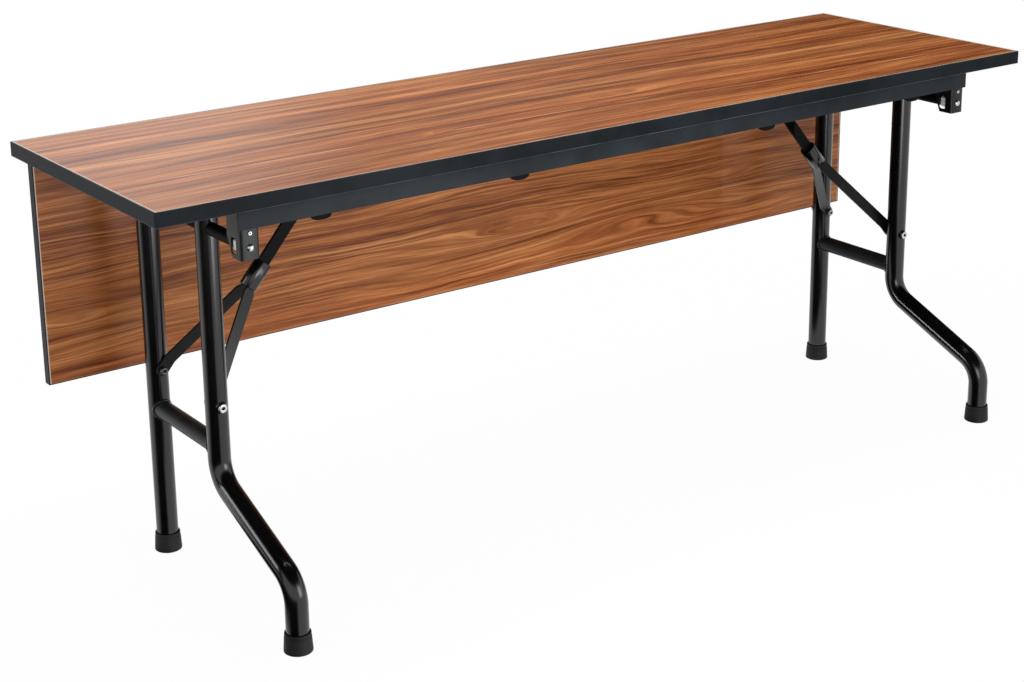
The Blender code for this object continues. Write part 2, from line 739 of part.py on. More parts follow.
def build_leg(side, label, root):
    x = side * LEG_X
    pivot = add_empty(f"{label}_leg_pivot", (x, 0, PIVOT_Z), root)
    top = PIVOT_Z + LEG_TOP_RISE
    rear = [(REAR_TUBE_Y, TUBE_FOOT_Z), (REAR_TUBE_Y, top)]
    build_leg_tube(f"{label}_rear_tube", rear, REAR_TUBE_Y, x, pivot)
    corners = [
        (0, FRONT_FOOT_Y, TUBE_FOOT_Z),
        (0, FRONT_FOOT_Y, BEND_LOW_Z),
        (0, FRONT_TUBE_Y, BEND_HIGH_Z),
        (0, FRONT_TUBE_Y, top),
    ]
    front = [(point[1], point[2]) for point in round_bends(corners, BEND_RADIUS, BEND_STEPS)]
    build_leg_tube(f"{label}_front_tube", front, FRONT_TUBE_Y, x, pivot)
    build_crossbar(f"{label}_crossbar", x, pivot)
    build_pivot_tube(f"{label}_pivot_tube", x, pivot)
    build_ferrule(f"{label}_rear_ferrule", x, REAR_TUBE_Y, pivot)
    build_ferrule(f"{label}_front_ferrule", x, FRONT_FOOT_Y, pivot)
    build_brace_bolt(f"{label}_rear_brace_bolt", x, REAR_TUBE_Y, 1, pivot)
    build_brace_bolt(f"{label}_front_brace_bolt", x, FRONT_TUBE_Y, -1, pivot)


# Lock braces


def brace_points(side):
    """The brace's pivots on the leg, at the elbow and under the top."""
    leg = Vector((side * LEG_X, FRAME_CENTRE_Y, BRACE_LEG_Z))
    top = Vector((side * BRACE_TOP_X, FRAME_CENTRE_Y, BRACE_TOP_Z))
    return leg, leg.lerp(top, ELBOW_SHARE), top


def bar_frame(start, end, y):
    """A frame at the bar's start, with X along the bar and Z across the table's depth."""
    along = (end - start).normalized()
    across = Vector((-along.z, 0, along.x))
    return axes(along, across, (start.x, y, start.z))


def bar_outline(length, start_width, end_width, narrow_from, narrow_to):
    """A bar with round ends that narrows between two places along it."""
    half = start_width / 2
    neck = end_width / 2
    outline = arc((0, 0), half, 90, 270, 2 * ARC_STEPS)
    outline += [(narrow_from, -half), (narrow_to, -neck)]
    outline += arc((length, 0), neck, -90, 90, 2 * ARC_STEPS)
    outline += [(narrow_to, neck), (narrow_from, half)]
    return outline


def strip_outline(points, thickness):
    """The outline of a bent strip from its centre line."""
    upper = []
    lower = []
    for number, point in enumerate(points):
        point = Vector(point)
        ahead = Vector(points[min(number + 1, len(points) - 1)]) - point
        back = point - Vector(points[max(number - 1, 0)])
        ahead = ahead.normalized() if ahead.length else back.normalized()
        back = back.normalized() if back.length else ahead
        along = (ahead + back).normalized()
        normal = Vector((-along.y, along.x)) * (thickness / 2 / along.dot(ahead))
        upper.append(tuple(point + normal))
        lower.append(tuple(point - normal))
    return upper + lower[::-1]


def lower_bar_offsets():
    """The lower bars' centre lines, out from the brace's middle, at the leg and at the elbow."""
    half = LOWER_BAR_THICKNESS / 2
    at_leg = FRAME_WIDTH / 2 - LEG_RADIUS - OPEN_PIVOT_GAP - half
    at_elbow = UPPER_BAR_THICKNESS / 2 + GAP + half
    return at_leg, at_elbow


def lower_bar_neck(length):
    """How far below the elbow the lower bars start to spread, so that the sleeve's mouth rests on them."""
    at_leg, at_elbow = lower_bar_offsets()
    run = length - LOWER_BAR_LEG_PAD
    room = SLEEVE_INNER_DEPTH / 2 - GAP - LOWER_BAR_THICKNESS / 2 - at_elbow
    neck = SLEEVE_BELOW_ELBOW
    for _ in range(20):
        slope = (at_leg - at_elbow) / (run - neck)
        lean = LOWER_BAR_THICKNESS / 2 * (math.sqrt(1 + slope * slope) - 1)
        neck = SLEEVE_BELOW_ELBOW - (room - lean) / slope
    return neck


def build_lower_bar(name, direction, leg, elbow, parent):
    length = (elbow - leg).length
    at_leg, at_elbow = lower_bar_offsets()
    neck = lower_bar_neck(length)
    past = LOWER_BAR_WIDTH
    line = [
        (-past, at_leg),
        (LOWER_BAR_LEG_PAD, at_leg),
        (length - neck, at_elbow),
        (length + past, at_elbow),
    ]
    frame = bar_frame(leg, elbow, FRAME_CENTRE_Y)
    strip = flat_mesh(name, strip_outline(line, LOWER_BAR_THICKNESS), 2 * LOWER_BAR_WIDTH)
    on_edge = frame @ axes((1, 0, 0), (0, 0, -direction), (0, 0, 0))
    bar = add_part(name, strip, "black_powder_coat", on_edge, parent)
    narrow_to = length - SLEEVE_BELOW_ELBOW - GAP
    plan = bar_outline(
        length, LOWER_BAR_WIDTH, LOWER_BAR_NECK_WIDTH, narrow_to - LOWER_BAR_TAPER, narrow_to
    )
    mesh = flat_mesh(f"{name}_plan", plan, 2 * FRAME_WIDTH)
    combine(bar, add_cutter(f"{name}_plan", mesh, frame, parent), "INTERSECT")
    reach = 4 * LOWER_BAR_THICKNESS
    y = FRAME_CENTRE_Y + direction * at_leg
    bolt_at = along_y(1, (leg.x, y, leg.z))
    cut_hole(bar, f"{name}_bolt_hole", BRACE_BOLT_DIAMETER / 2 + GAP, reach, bolt_at, parent)
    y = FRAME_CENTRE_Y + direction * at_elbow
    rivet_at = along_y(1, (elbow.x, y, elbow.z))
    cut_hole(bar, f"{name}_rivet_hole", RIVET_DIAMETER / 2 + GAP, reach, rivet_at, parent)


def build_brace_nut(name, direction, leg, parent):
    """Hexagon on the inner side of a lower bar, with a stub through the bar."""
    at_leg, _ = lower_bar_offsets()
    half = LOWER_BAR_THICKNESS / 2
    y = FRAME_CENTRE_Y + direction * at_leg
    frame = along_y(-direction, (leg.x, y, leg.z))
    start = half + GAP
    mesh = hexagon_mesh(name, BRACE_NUT_ACROSS_FLATS, BRACE_NUT_HEIGHT)
    middle = frame @ Matrix.Translation((0, 0, start + BRACE_NUT_HEIGHT / 2))
    nut = add_part(name, mesh, "dark_steel", middle, parent)
    reach = LOWER_BAR_THICKNESS + GAP + BRACE_NUT_HEIGHT / 2
    stub = rod_mesh(f"{name}_stub", BRACE_BOLT_DIAMETER / 2, reach, SMALL_SIDES)
    stub_at = frame @ Matrix.Translation((0, 0, reach / 2 - half))
    combine(nut, add_cutter(f"{name}_stub", stub, stub_at, parent), "UNION")


def build_rivet(name, at, grip, material, parent):
    """A pin along Y with a head at each end."""
    shank = RIVET_DIAMETER / 2
    head = RIVET_HEAD_DIAMETER / 2
    seat = grip / 2 + GAP
    end = seat + RIVET_HEAD_HEIGHT
    profile = [
        (0, end),
        (head * 0.7, end),
        (head, seat + RIVET_HEAD_HEIGHT / 2),
        (head, seat),
        (shank, seat),
        (shank, -seat),
        (head, -seat),
        (head, -seat - RIVET_HEAD_HEIGHT / 2),
        (head * 0.7, -end),
        (0, -end),
    ]
    rivet = add_part(name, turned_mesh(name, profile), material, along_y(1, at), parent)
    turn(rivet, SMALL_SIDES)


def build_upper_bar(name, elbow, top, parent):
    length = (top - elbow).length
    half = length / 2
    plan = bar_outline(length, UPPER_BAR_WIDTH, UPPER_BAR_WIDTH, half, half)
    mesh = flat_mesh(name, plan, UPPER_BAR_THICKNESS)
    bar = add_part(name, mesh, "black_powder_coat", bar_frame(elbow, top, FRAME_CENTRE_Y), parent)
    reach = 2 * UPPER_BAR_THICKNESS
    radius = RIVET_DIAMETER / 2 + GAP
    cut_hole(bar, f"{name}_elbow_hole", radius, reach, along_y(1, elbow), parent)
    cut_hole(bar, f"{name}_pin_hole", radius, reach, along_y(1, top), parent)


def build_sleeve(name, elbow, top, parent):
    wall = 2 * SLEEVE_WALL
    outer = rounded_rectangle(
        SLEEVE_INNER_WIDTH + wall, SLEEVE_INNER_DEPTH + wall, SLEEVE_INNER_ROUND + SLEEVE_WALL
    )
    inner = rounded_rectangle(SLEEVE_INNER_WIDTH, SLEEVE_INNER_DEPTH, SLEEVE_INNER_ROUND)
    along = (top - elbow).normalized()
    middle = elbow + along * (SLEEVE_LENGTH / 2 - SLEEVE_BELOW_ELBOW)
    across = Vector((-along.z, 0, along.x))
    frame = axes(across, along.cross(across), middle)
    sleeve = add_part(name, flat_mesh(name, outer, SLEEVE_LENGTH), "black_powder_coat", frame, parent)
    bore = flat_mesh(f"{name}_bore", inner, 2 * SLEEVE_LENGTH)
    combine(sleeve, add_cutter(f"{name}_bore", bore, frame, parent))


def brace_bracket_gap():
    """Half the space between the cheeks of a brace bracket."""
    return UPPER_BAR_THICKNESS / 2 + BRACE_BRACKET_SIDE_GAP


def build_brace_bracket(name, top, root):
    steel = BRACE_BRACKET_STEEL
    inner = brace_bracket_gap()
    outer = inner + steel
    flange = BRACE_BRACKET_FLANGE / 2
    high = UNDERSIDE_Z - GAP
    low = BRACE_TOP_Z - BRACE_BRACKET_BELOW_PIN
    half = [(flange, high), (flange, high - steel), (outer, high - steel), (outer, low), (inner, low)]
    half += [(inner, high - steel)]
    outline = half + [(-y, z) for y, z in half[::-1]]
    mesh = flat_mesh(name, outline, BRACE_BRACKET_LENGTH)
    frame = section_yz((top.x, FRAME_CENTRE_Y, 0))
    bracket = add_part(name, mesh, "black_powder_coat", frame, root)
    radius = RIVET_DIAMETER / 2 + GAP
    cut_hole(bracket, f"{name}_pin_hole", radius, BRACE_BRACKET_FLANGE, along_y(1, top), root)


def build_brace(side, label, root):
    leg, elbow, top = brace_points(side)
    upper = add_empty(f"{label}_brace_pivot", top, root)
    lower = add_empty(f"{label}_elbow", elbow, upper)
    slide = add_empty(f"{label}_sleeve_slide", elbow, upper)
    build_brace_bracket(f"{label}_brace_bracket", top, root)
    grip = 2 * (brace_bracket_gap() + BRACE_BRACKET_STEEL)
    build_rivet(f"{label}_brace_pin", top, grip, "dark_steel", root)
    build_upper_bar(f"{label}_upper_bar", elbow, top, upper)
    build_sleeve(f"{label}_lock_sleeve", elbow, top, slide)
    for direction, end in ((-1, "front"), (1, "rear")):
        build_lower_bar(f"{label}_{end}_lower_bar", direction, leg, elbow, lower)
        build_brace_nut(f"{label}_{end}_brace_nut", direction, leg, lower)
    grip = UPPER_BAR_THICKNESS + 2 * (GAP + LOWER_BAR_THICKNESS)
    build_rivet(f"{label}_elbow_rivet", elbow, grip, "dark_steel", lower)


def build_table():
    clear_scene()
    make_materials()
    root = add_empty("table_top_centre", (0, 0, 0))
    root.location = (0, -CENTRE_Y, 0)
    build_top(root)
    build_panel(root)
    build_rail("front_rail", FRONT_RAIL_Y, 1, root)
    build_rail("rear_rail", REAR_RAIL_Y, -1, root)
    build_bumpers(root)
    for side, label in ((-1, "left"), (1, "right")):
        build_pivots(side, label, root)
        build_leg(side, label, root)
        build_brace(side, label, root)


build_table()
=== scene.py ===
"""Looks of the folding banquet table: finishes, smooth pieces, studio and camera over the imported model."""

import json
import math

import bmesh
import bpy
from mathutils import Matrix, Vector

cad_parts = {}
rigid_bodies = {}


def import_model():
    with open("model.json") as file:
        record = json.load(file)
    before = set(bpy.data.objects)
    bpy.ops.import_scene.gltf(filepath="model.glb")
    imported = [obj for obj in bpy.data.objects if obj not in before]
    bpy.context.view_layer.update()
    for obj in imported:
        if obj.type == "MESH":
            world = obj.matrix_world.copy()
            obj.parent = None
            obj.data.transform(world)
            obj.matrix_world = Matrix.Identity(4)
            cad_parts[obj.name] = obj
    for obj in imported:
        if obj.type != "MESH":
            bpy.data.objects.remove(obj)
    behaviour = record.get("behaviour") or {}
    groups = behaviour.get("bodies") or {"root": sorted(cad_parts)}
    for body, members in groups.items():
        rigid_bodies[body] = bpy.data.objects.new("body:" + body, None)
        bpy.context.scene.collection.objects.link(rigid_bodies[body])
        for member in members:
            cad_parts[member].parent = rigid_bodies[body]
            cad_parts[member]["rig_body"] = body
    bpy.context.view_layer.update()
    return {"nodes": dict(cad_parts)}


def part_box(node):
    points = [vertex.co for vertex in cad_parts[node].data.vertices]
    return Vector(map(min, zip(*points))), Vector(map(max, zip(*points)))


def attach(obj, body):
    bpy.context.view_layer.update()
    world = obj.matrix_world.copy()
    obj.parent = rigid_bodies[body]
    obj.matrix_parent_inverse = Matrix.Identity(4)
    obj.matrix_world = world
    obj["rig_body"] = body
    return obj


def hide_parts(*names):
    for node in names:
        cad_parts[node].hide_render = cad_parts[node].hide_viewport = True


for leftover in list(bpy.data.objects):
    bpy.data.objects.remove(leftover, do_unlink=True)

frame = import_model()
nodes = frame["nodes"]

SIDES = (("left", -1), ("right", 1))

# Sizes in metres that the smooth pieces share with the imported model
TOP_Z = 0.74
TOP_UNDER_Z = 0.7145
TOP_MIDDLE_Y = 0.052925
LAMINATE_HALF_X = 0.9625
LAMINATE_HALF_Y = 0.2775
PANEL_HALF_X = 0.9561
PANEL_HALF_Z = 0.2
PANEL_MIDDLE_Z = 0.5153
MIDDLE_Y = 0.045425
LEG_X = 0.802
PIVOT_Z = 0.652
PIVOT_RADIUS = 0.011
PIVOT_WALL = 0.0025
SCREW_ABOVE_PIVOT = 0.0235
LEG_RADIUS = 0.01925
LEG_WALL = 0.0018
TUBE_TOP_Z = 0.6715
TUBE_FOOT_Z = 0.0045
REAR_TUBE_Y = MIDDLE_Y + 0.1113
FRONT_TUBE_Y = MIDDLE_Y - 0.1113
FRONT_FOOT_Y = FRONT_TUBE_Y - 0.2429
BEND_HIGH_Z = 0.215
BEND_LOW_Z = 0.115
BEND_RADIUS = 0.055
CROSSBAR_Z = 0.271
CROSSBAR_RADIUS = 0.016
CROSSBAR_WALL = 0.0016
CROSSBAR_SINK = 0.009
BRACE_LEG_Z = 0.345
BRACE_TOP_X = 0.511
BRACE_TOP_Z = 0.69
ELBOW_SHARE = 0.516
SLEEVE_WIDTH = 0.032
SLEEVE_DEPTH = 0.0276
SLEEVE_ROUND = 0.0125

# Sizes in metres of detail that only the smooth pieces have
BUMPER_DROP = 0.0077
BUMPER_SHOULDER = 0.0012
BUMPER_ROUND = 0.0012
BUMPER_FRONT_GAP = 0.0021
BUMPER_STEM_GAP = 0.0042
BUMPER_STEM = 0.0137
ROUND_SIDES = 48
SMALL_SIDES = 36
TUBE_SIDES = 64

# Camera fitted to the photograph, which is 1024 pixels wide
CAMERA_AT = (-2.148117, -2.788292, 1.533952)
CAMERA_YAW = 0.62195195
CAMERA_PITCH = 0.27859452
CAMERA_ROLL = -0.012
FOCAL_PIXELS = 1941.9545
PHOTO_WIDTH_PIXELS = 1024
SENSOR_WIDTH = 36.0
LENS_SHIFT = -0.13


# Node graphs


def linear(red, green, blue):
    """A colour from 0 to 255 as the shader's linear values."""
    values = []
    for level in (red, green, blue):
        level /= 255
        values.append(level / 12.92 if level <= 0.04045 else ((level + 0.055) / 1.055) ** 2.4)
    return (*values, 1.0)


class Graph:
    """A material whose nodes are added from code."""

    def __init__(self, name):
        self.material = bpy.data.materials.new(name)
        self.material.use_nodes = True
        self.tree = self.material.node_tree
        self.shader = self.tree.nodes["Principled BSDF"]
        self.output = self.tree.nodes["Material Output"]
        self.spot = self.add("ShaderNodeTexCoord").outputs["Object"]

    def add(self, kind, **settings):
        node = self.tree.nodes.new(kind)
        for key, value in settings.items():
            setattr(node, key, value)
        return node

    def feed(self, socket, value):
        if isinstance(value, bpy.types.NodeSocket):
            self.tree.links.new(value, socket)
        else:
            socket.default_value = value

    def math(self, operation, *values):
        node = self.add("ShaderNodeMath", operation=operation)
        for socket, value in zip(node.inputs, values):
            self.feed(socket, value)
        return node.outputs[0]

    def total(self, *values):
        result = values[0]
        for value in values[1:]:
            result = self.math("ADD", result, value)
        return result

    def swing(self, value, amount):
        """A noise value turned to run either side of nought."""
        return self.math("MULTIPLY", self.math("SUBTRACT", value, 0.5), amount)

    def split(self, vector):
        node = self.add("ShaderNodeSeparateXYZ")
        self.feed(node.inputs[0], vector)
        return node.outputs

    def join(self, x, y, z):
        node = self.add("ShaderNodeCombineXYZ")
        for socket, value in zip(node.inputs, (x, y, z)):
            self.feed(socket, value)
        return node.outputs[0]

    def noise(self, vector, stretch, detail=2.0, rough=0.5):
        scaled = self.add("ShaderNodeVectorMath", operation="MULTIPLY")
        self.feed(scaled.inputs[0], vector)
        scaled.inputs[1].default_value = stretch
        node = self.add("ShaderNodeTexNoise")
        self.feed(node.inputs["Vector"], scaled.outputs[0])
        node.inputs["Scale"].default_value = 1.0
        node.inputs["Detail"].default_value = detail
        node.inputs["Roughness"].default_value = rough
        return node.outputs[0]

    def span(self, value, low, high, to_low=0.0, to_high=1.0, smooth=True):
        node = self.add("ShaderNodeMapRange")
        node.interpolation_type = "SMOOTHSTEP" if smooth else "LINEAR"
        for socket, part in zip(node.inputs, (value, low, high, to_low, to_high)):
            self.feed(socket, part)
        return node.outputs[0]

    def ramp(self, value, stops):
        node = self.add("ShaderNodeValToRGB")
        self.feed(node.inputs[0], value)
        points = node.color_ramp.elements
        while len(points) < len(stops):
            points.new(0.5)
        for point, (place, colour) in zip(points, stops):
            point.position = place
            point.color = colour
        return node.outputs[0]

    def blend(self, amount, first, second, mode="MIX"):
        node = self.add("ShaderNodeMix", data_type="RGBA", blend_type=mode)
        self.feed(node.inputs["Factor"], amount)
        for socket, value in zip((node.inputs[6], node.inputs[7]), (first, second)):
            self.feed(socket, value)
        return node.outputs[2]

    def bump(self, height, strength, distance):
        node = self.add("ShaderNodeBump")
        node.inputs["Strength"].default_value = strength
        node.inputs["Distance"].default_value = distance
        self.feed(node.inputs["Height"], height)
        self.feed(self.shader.inputs["Normal"], node.outputs[0])

    def set(self, **values):
        for key, value in values.items():
            self.feed(self.shader.inputs[key.replace("_", " ")], value)


# Materials


def walnut(name, across, seed, density, streaks, eyes, threads, level, half_x, half_across, middle_across):
    """Walnut laminate with its grain along X, and a painted highlight at the cut edges: a pale rim standing
    in for the edge bevel catching light.

    An eye is (x, across, reach in x, reach across, strength), a thread (x from, x to, across, slope).
    """
    g = Graph(name)
    x, y, z = g.split(g.spot)
    t = y if across == "Y" else z
    flat = g.join(x, t, seed)
    height = g.total(
        t,
        g.swing(g.noise(flat, (0.8, 3.2, 1.0), 2), 0.10),
        g.swing(g.noise(flat, (3.5, 14.0, 1.0), 2), 0.016),
        g.swing(g.noise(flat, (16.0, 60.0, 1.0), 2), 0.0022),
    )
    for eye_x, eye_t, reach_x, reach_t, strength in eyes:
        along = g.math("DIVIDE", g.math("SUBTRACT", x, eye_x), reach_x)
        off = g.math("DIVIDE", g.math("SUBTRACT", t, eye_t), reach_t)
        far = g.total(g.math("MULTIPLY", along, along), g.math("MULTIPLY", off, off))
        hill = g.math("POWER", math.e, g.math("MULTIPLY", far, -1.0))
        height = g.math("MULTIPLY_ADD", hill, strength, height)
    grain = g.join(x, height, seed + 3.7)
    broad = g.noise(grain, (0.55, 22.0, 1.0), 3, 0.55)
    middle = g.noise(grain, (1.9, 84.0 * density, 1.0), 3, 0.55)
    fine = g.noise(grain, (5.0, 260.0 * density, 1.0), 2, 0.6)
    fibre = g.noise(grain, (22.0, 560.0 * density, 1.0), 2, 0.6)
    tone = g.total(
        0.5,
        g.swing(broad, streaks),
        g.swing(middle, 0.8),
        g.swing(fine, 0.7),
        g.swing(fibre, 0.24),
    )
    colour = g.ramp(
        tone,
        (
            (0.16, linear(78, 38, 19)),
            (0.34, linear(124, 68, 35)),
            (0.50, linear(161, 97, 53)),
            (0.66, linear(191, 123, 71)),
            (0.86, linear(224, 162, 106)),
        ),
    )
    warm = g.span(g.noise(grain, (0.4, 8.0, 1.0), 2), 0.35, 0.65, 0.0, 0.35)
    colour = g.blend(warm, colour, linear(255, 214, 190), "MULTIPLY")
    ridge = g.noise(grain, (0.35, 30.0, 1.0), 1)
    thread = g.math("ABSOLUTE", g.math("SUBTRACT", ridge, 0.52))
    thread = g.span(thread, 0.0, 0.008, 1.0, 0.0)
    thread = g.math("MULTIPLY", thread, g.span(g.noise(flat, (1.1, 6.0, 1.0), 1), 0.50, 0.62, 0.0, 0.6))
    colour = g.blend(thread, colour, linear(226, 168, 112))
    for start, end, place, slope in threads:
        line = g.math("MULTIPLY_ADD", x, slope, place)
        line = g.total(line, g.swing(g.noise(flat, (2.2, 1.0, 1.0), 2), 0.012))
        near = g.span(g.math("ABSOLUTE", g.math("SUBTRACT", t, line)), 0.0006, 0.0026, 1.0, 0.0)
        length = g.math("MULTIPLY", g.span(x, start, start + 0.2), g.span(x, end - 0.3, end, 1.0, 0.0))
        broken = g.span(g.noise(flat, (9.0, 3.0, 1.0), 2), 0.35, 0.6, 0.1, 0.7)
        near = g.math("MULTIPLY", g.math("MULTIPLY", near, length), broken)
        colour = g.blend(near, colour, linear(238, 184, 132))
    # Painted highlight: a pale rim along the cut edges for the bevel catching light.
    side = g.math("ABSOLUTE", g.math("SUBTRACT", t, middle_across))
    rim = g.math(
        "MAXIMUM",
        g.span(g.math("ABSOLUTE", x), half_x - 0.0022, half_x - 0.0014),
        g.span(side, half_across - 0.0018, half_across - 0.0011),
    )
    colour = g.blend(g.math("MULTIPLY", rim, 0.9), colour, linear(222, 206, 194))
    g.set(
        Base_Color=colour,
        Roughness=g.total(0.27, g.swing(fine, 0.14), g.swing(fibre, 0.1)),
        Specular_IOR_Level=level,
    )
    g.bump(g.total(fine, g.math("MULTIPLY", fibre, 0.6)), 0.10, 0.0004)
    return g.material


def coat(name, dark, light, rough, grain=900.0, bump=0.06, level=0.5, wear=0.25, rims=None):
    """Painted or moulded black surface with a fine orange peel and uneven gloss; where rims are given, paler
    in patches along them, a painted highlight of the rounded edges.
    """
    g = Graph(name)
    cloud = g.noise(g.spot, (9.0, 9.0, 9.0), 3, 0.6)
    peel = g.noise(g.spot, (grain, grain, grain), 2, 0.5)
    speck = g.noise(g.spot, (grain * 2.3, grain * 2.3, grain * 2.3), 1, 0.5)
    tone = g.total(g.span(cloud, 0.3, 0.7), g.swing(peel, 0.6), g.swing(speck, wear))
    colour = g.ramp(tone, ((0.1, dark), (0.9, light)))
    # Painted highlight in patches along the given lower and upper rims.
    if rims:
        low, high = rims
        _, _, z = g.split(g.spot)
        rim_highlight = g.math(
            "MAXIMUM",
            g.span(z, low + 0.0006, low + 0.0012, 1.0, 0.0),
            g.span(z, high - 0.0007, high - 0.0003),
        )
        patches = g.noise(g.spot, (14.0, 14.0, 1.0), 3, 0.6)
        rim_highlight = g.math("MULTIPLY", rim_highlight, g.span(patches, 0.3, 0.7, 0.25, 0.85))
        colour = g.blend(rim_highlight, colour, linear(104, 108, 110))
    g.set(
        Base_Color=colour,
        Roughness=g.total(rough, g.swing(cloud, rough * 0.5), g.swing(peel, rough * 0.25)),
        Specular_IOR_Level=level,
    )
    g.bump(peel, bump, 0.0003)
    return g.material


def metal(name, dark, light, rough, plating=1.0):
    """Plated steel with a faint turned grain and a few dull patches."""
    g = Graph(name)
    cloud = g.noise(g.spot, (160.0, 160.0, 160.0), 3, 0.6)
    lines = g.noise(g.spot, (1500.0, 300.0, 1500.0), 2, 0.5)
    colour = g.ramp(g.total(cloud, g.swing(lines, 0.4)), ((0.25, dark), (0.75, light)))
    g.set(
        Base_Color=colour,
        Metallic=plating,
        Roughness=g.total(rough, g.swing(cloud, 0.16), g.swing(lines, 0.12)),
    )
    g.bump(lines, 0.05, 0.0002)
    return g.material


def fibre_board(name, dark, light):
    """Pressed chips or paper, flecked along and across."""
    g = Graph(name)
    chips = g.noise(g.spot, (260.0, 420.0, 500.0), 3, 0.6)
    flecks = g.noise(g.spot, (1300.0, 900.0, 1300.0), 1, 0.5)
    tone = g.total(chips, g.swing(flecks, 0.5))
    g.set(
        Base_Color=g.ramp(tone, ((0.3, dark), (0.7, light))),
        Roughness=g.total(0.75, g.swing(chips, 0.2)),
        Specular_IOR_Level=0.25,
    )
    g.bump(chips, 0.2, 0.0005)
    return g.material


TOP_EYES = ((-0.43, -0.078, 0.10, 0.016, 0.026), (0.06, -0.03, 0.13, 0.016, 0.026))
TOP_THREADS = ((-1.0, 0.30, -0.079, -0.022), (-0.05, 0.98, -0.105, -0.03))
PANEL_EYES = (
    (0.065, 0.416, 0.15, 0.014, 0.025),
    (0.38, 0.385, 0.18, 0.022, -0.030),
    (0.62, 0.43, 0.10, 0.011, 0.017),
    (-0.89, 0.42, 0.07, 0.011, 0.015),
)

looks = {
    "walnut_laminate": walnut(
        "walnut_top",
        "Y",
        seed=1.3,
        density=0.62,
        streaks=0.8,
        eyes=TOP_EYES,
        threads=TOP_THREADS,
        level=0.36,
        half_x=LAMINATE_HALF_X,
        half_across=LAMINATE_HALF_Y,
        middle_across=TOP_MIDDLE_Y,
    ),
    "walnut_panel": walnut(
        "walnut_panel",
        "Z",
        seed=8.1,
        density=1.0,
        streaks=0.6,
        eyes=PANEL_EYES,
        threads=(),
        level=0.2,
        half_x=PANEL_HALF_X,
        half_across=PANEL_HALF_Z,
        middle_across=PANEL_MIDDLE_Z,
    ),
    "core_board": fibre_board("core_board", linear(120, 88, 58), linear(176, 140, 98)),
    "backer": fibre_board("backer", linear(48, 40, 34), linear(66, 56, 48)),
    # The edge band's rims take a painted highlight.
    "black_edge": coat(
        "black_edge", linear(19, 23, 26), linear(30, 35, 40), 0.42, level=0.06, rims=(TOP_UNDER_Z, TOP_Z)
    ),
    "panel_band": coat("panel_band", linear(14, 16, 18), linear(24, 27, 30), 0.42, level=0.1),
    "charcoal_steel": coat("charcoal_steel", linear(25, 30, 34), linear(38, 44, 49), 0.42, level=0.12),
    "black_powder_coat": coat(
        "black_powder_coat", linear(3, 3, 4), linear(8, 8, 9), 0.20, bump=0.03, level=0.62
    ),
    "black_bar": coat("black_bar", linear(7, 8, 9), linear(17, 19, 21), 0.34, level=0.2),
    # A paler copy of the black bar paint for the crossbars: painted light standing in for their highlights.
    "lit_black_bar": coat("lit_black_bar", linear(17, 22, 25), linear(30, 35, 38), 0.34, level=0.2),
    # A darker, duller copy of the bar paint for the upper bars and pivot tubes: painted shade.
    "shaded_matte_bar": coat("shaded_matte_bar", linear(5, 6, 7), linear(13, 14, 16), 0.5, level=0.07),
    "satin_bar": coat("satin_bar", linear(7, 8, 9), linear(17, 19, 21), 0.32, level=0.5),
    "bracket_coat": coat("bracket_coat", linear(9, 12, 15), linear(24, 28, 32), 0.36, level=0.32, wear=0.5),
    "black_rubber": coat(
        "black_rubber", linear(18, 19, 21), linear(34, 35, 37), 0.62, grain=600.0, bump=0.25, level=0.3
    ),
    "bumper_rubber": coat("bumper_rubber", linear(7, 7, 8), linear(14, 14, 15), 0.6, grain=600.0, level=0.08),
    "zinc_steel": metal("zinc_steel", linear(176, 176, 172), linear(232, 232, 228), 0.26),
    # A paler, mostly unplated copy of the zinc for the nuts, collars and spacers inside the brackets: painted
    # light, so they read bright in the shaded slots.
    "lit_dull_zinc": metal("lit_dull_zinc", linear(196, 194, 186), linear(236, 234, 228), 0.45, plating=0.25),
    "dark_steel": metal("dark_steel", linear(62, 62, 64), linear(104, 104, 106), 0.36),
    "bright_nut": metal("bright_nut", linear(150, 150, 148), linear(206, 206, 203), 0.30),
}


# Pieces


def add_piece(name, bm, look, body, node=None, sharp=40.0, inner_look=None):
    """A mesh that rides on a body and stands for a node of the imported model."""
    mesh = bpy.data.meshes.new(name)
    mesh.materials.append(looks[look])
    if inner_look:
        mesh.materials.append(looks[inner_look])
    bmesh.ops.recalc_face_normals(bm, faces=bm.faces)
    bm.to_mesh(mesh)
    bm.free()
    stored = mesh.attributes.get("custom_normal")
    if stored:
        mesh.attributes.remove(stored)
    mesh.shade_smooth()
    mesh.set_sharp_from_angle(angle=math.radians(sharp))
    obj = bpy.data.objects.new(name, mesh)
    bpy.context.scene.collection.objects.link(obj)
    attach(obj, body)
    if node:
        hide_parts(node)
    return obj


def body_of(node):
    return nodes[node]["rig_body"]


def soften(node, look, width, segments=2):
    """A copy of a node with its edges rounded."""
    bm = bmesh.new()
    bm.from_mesh(nodes[node].data)
    bmesh.ops.remove_doubles(bm, verts=bm.verts, dist=0.00002)
    bmesh.ops.dissolve_limit(bm, angle_limit=math.radians(1.5), verts=bm.verts, edges=bm.edges)
    obj = add_piece(f"{node}_finished", bm, look, body_of(node), node)
    bevel = obj.modifiers.new("soft_edges", "BEVEL")
    bevel.width = width
    bevel.segments = segments
    bevel.limit_method = "ANGLE"
    bevel.angle_limit = math.radians(40)
    bevel.harden_normals = True
    return obj


def ring_bridge(bm, first, second):
    count = len(first)
    for number in range(count):
        after = (number + 1) % count
        bm.faces.new((first[number], first[after], second[after], second[number]))


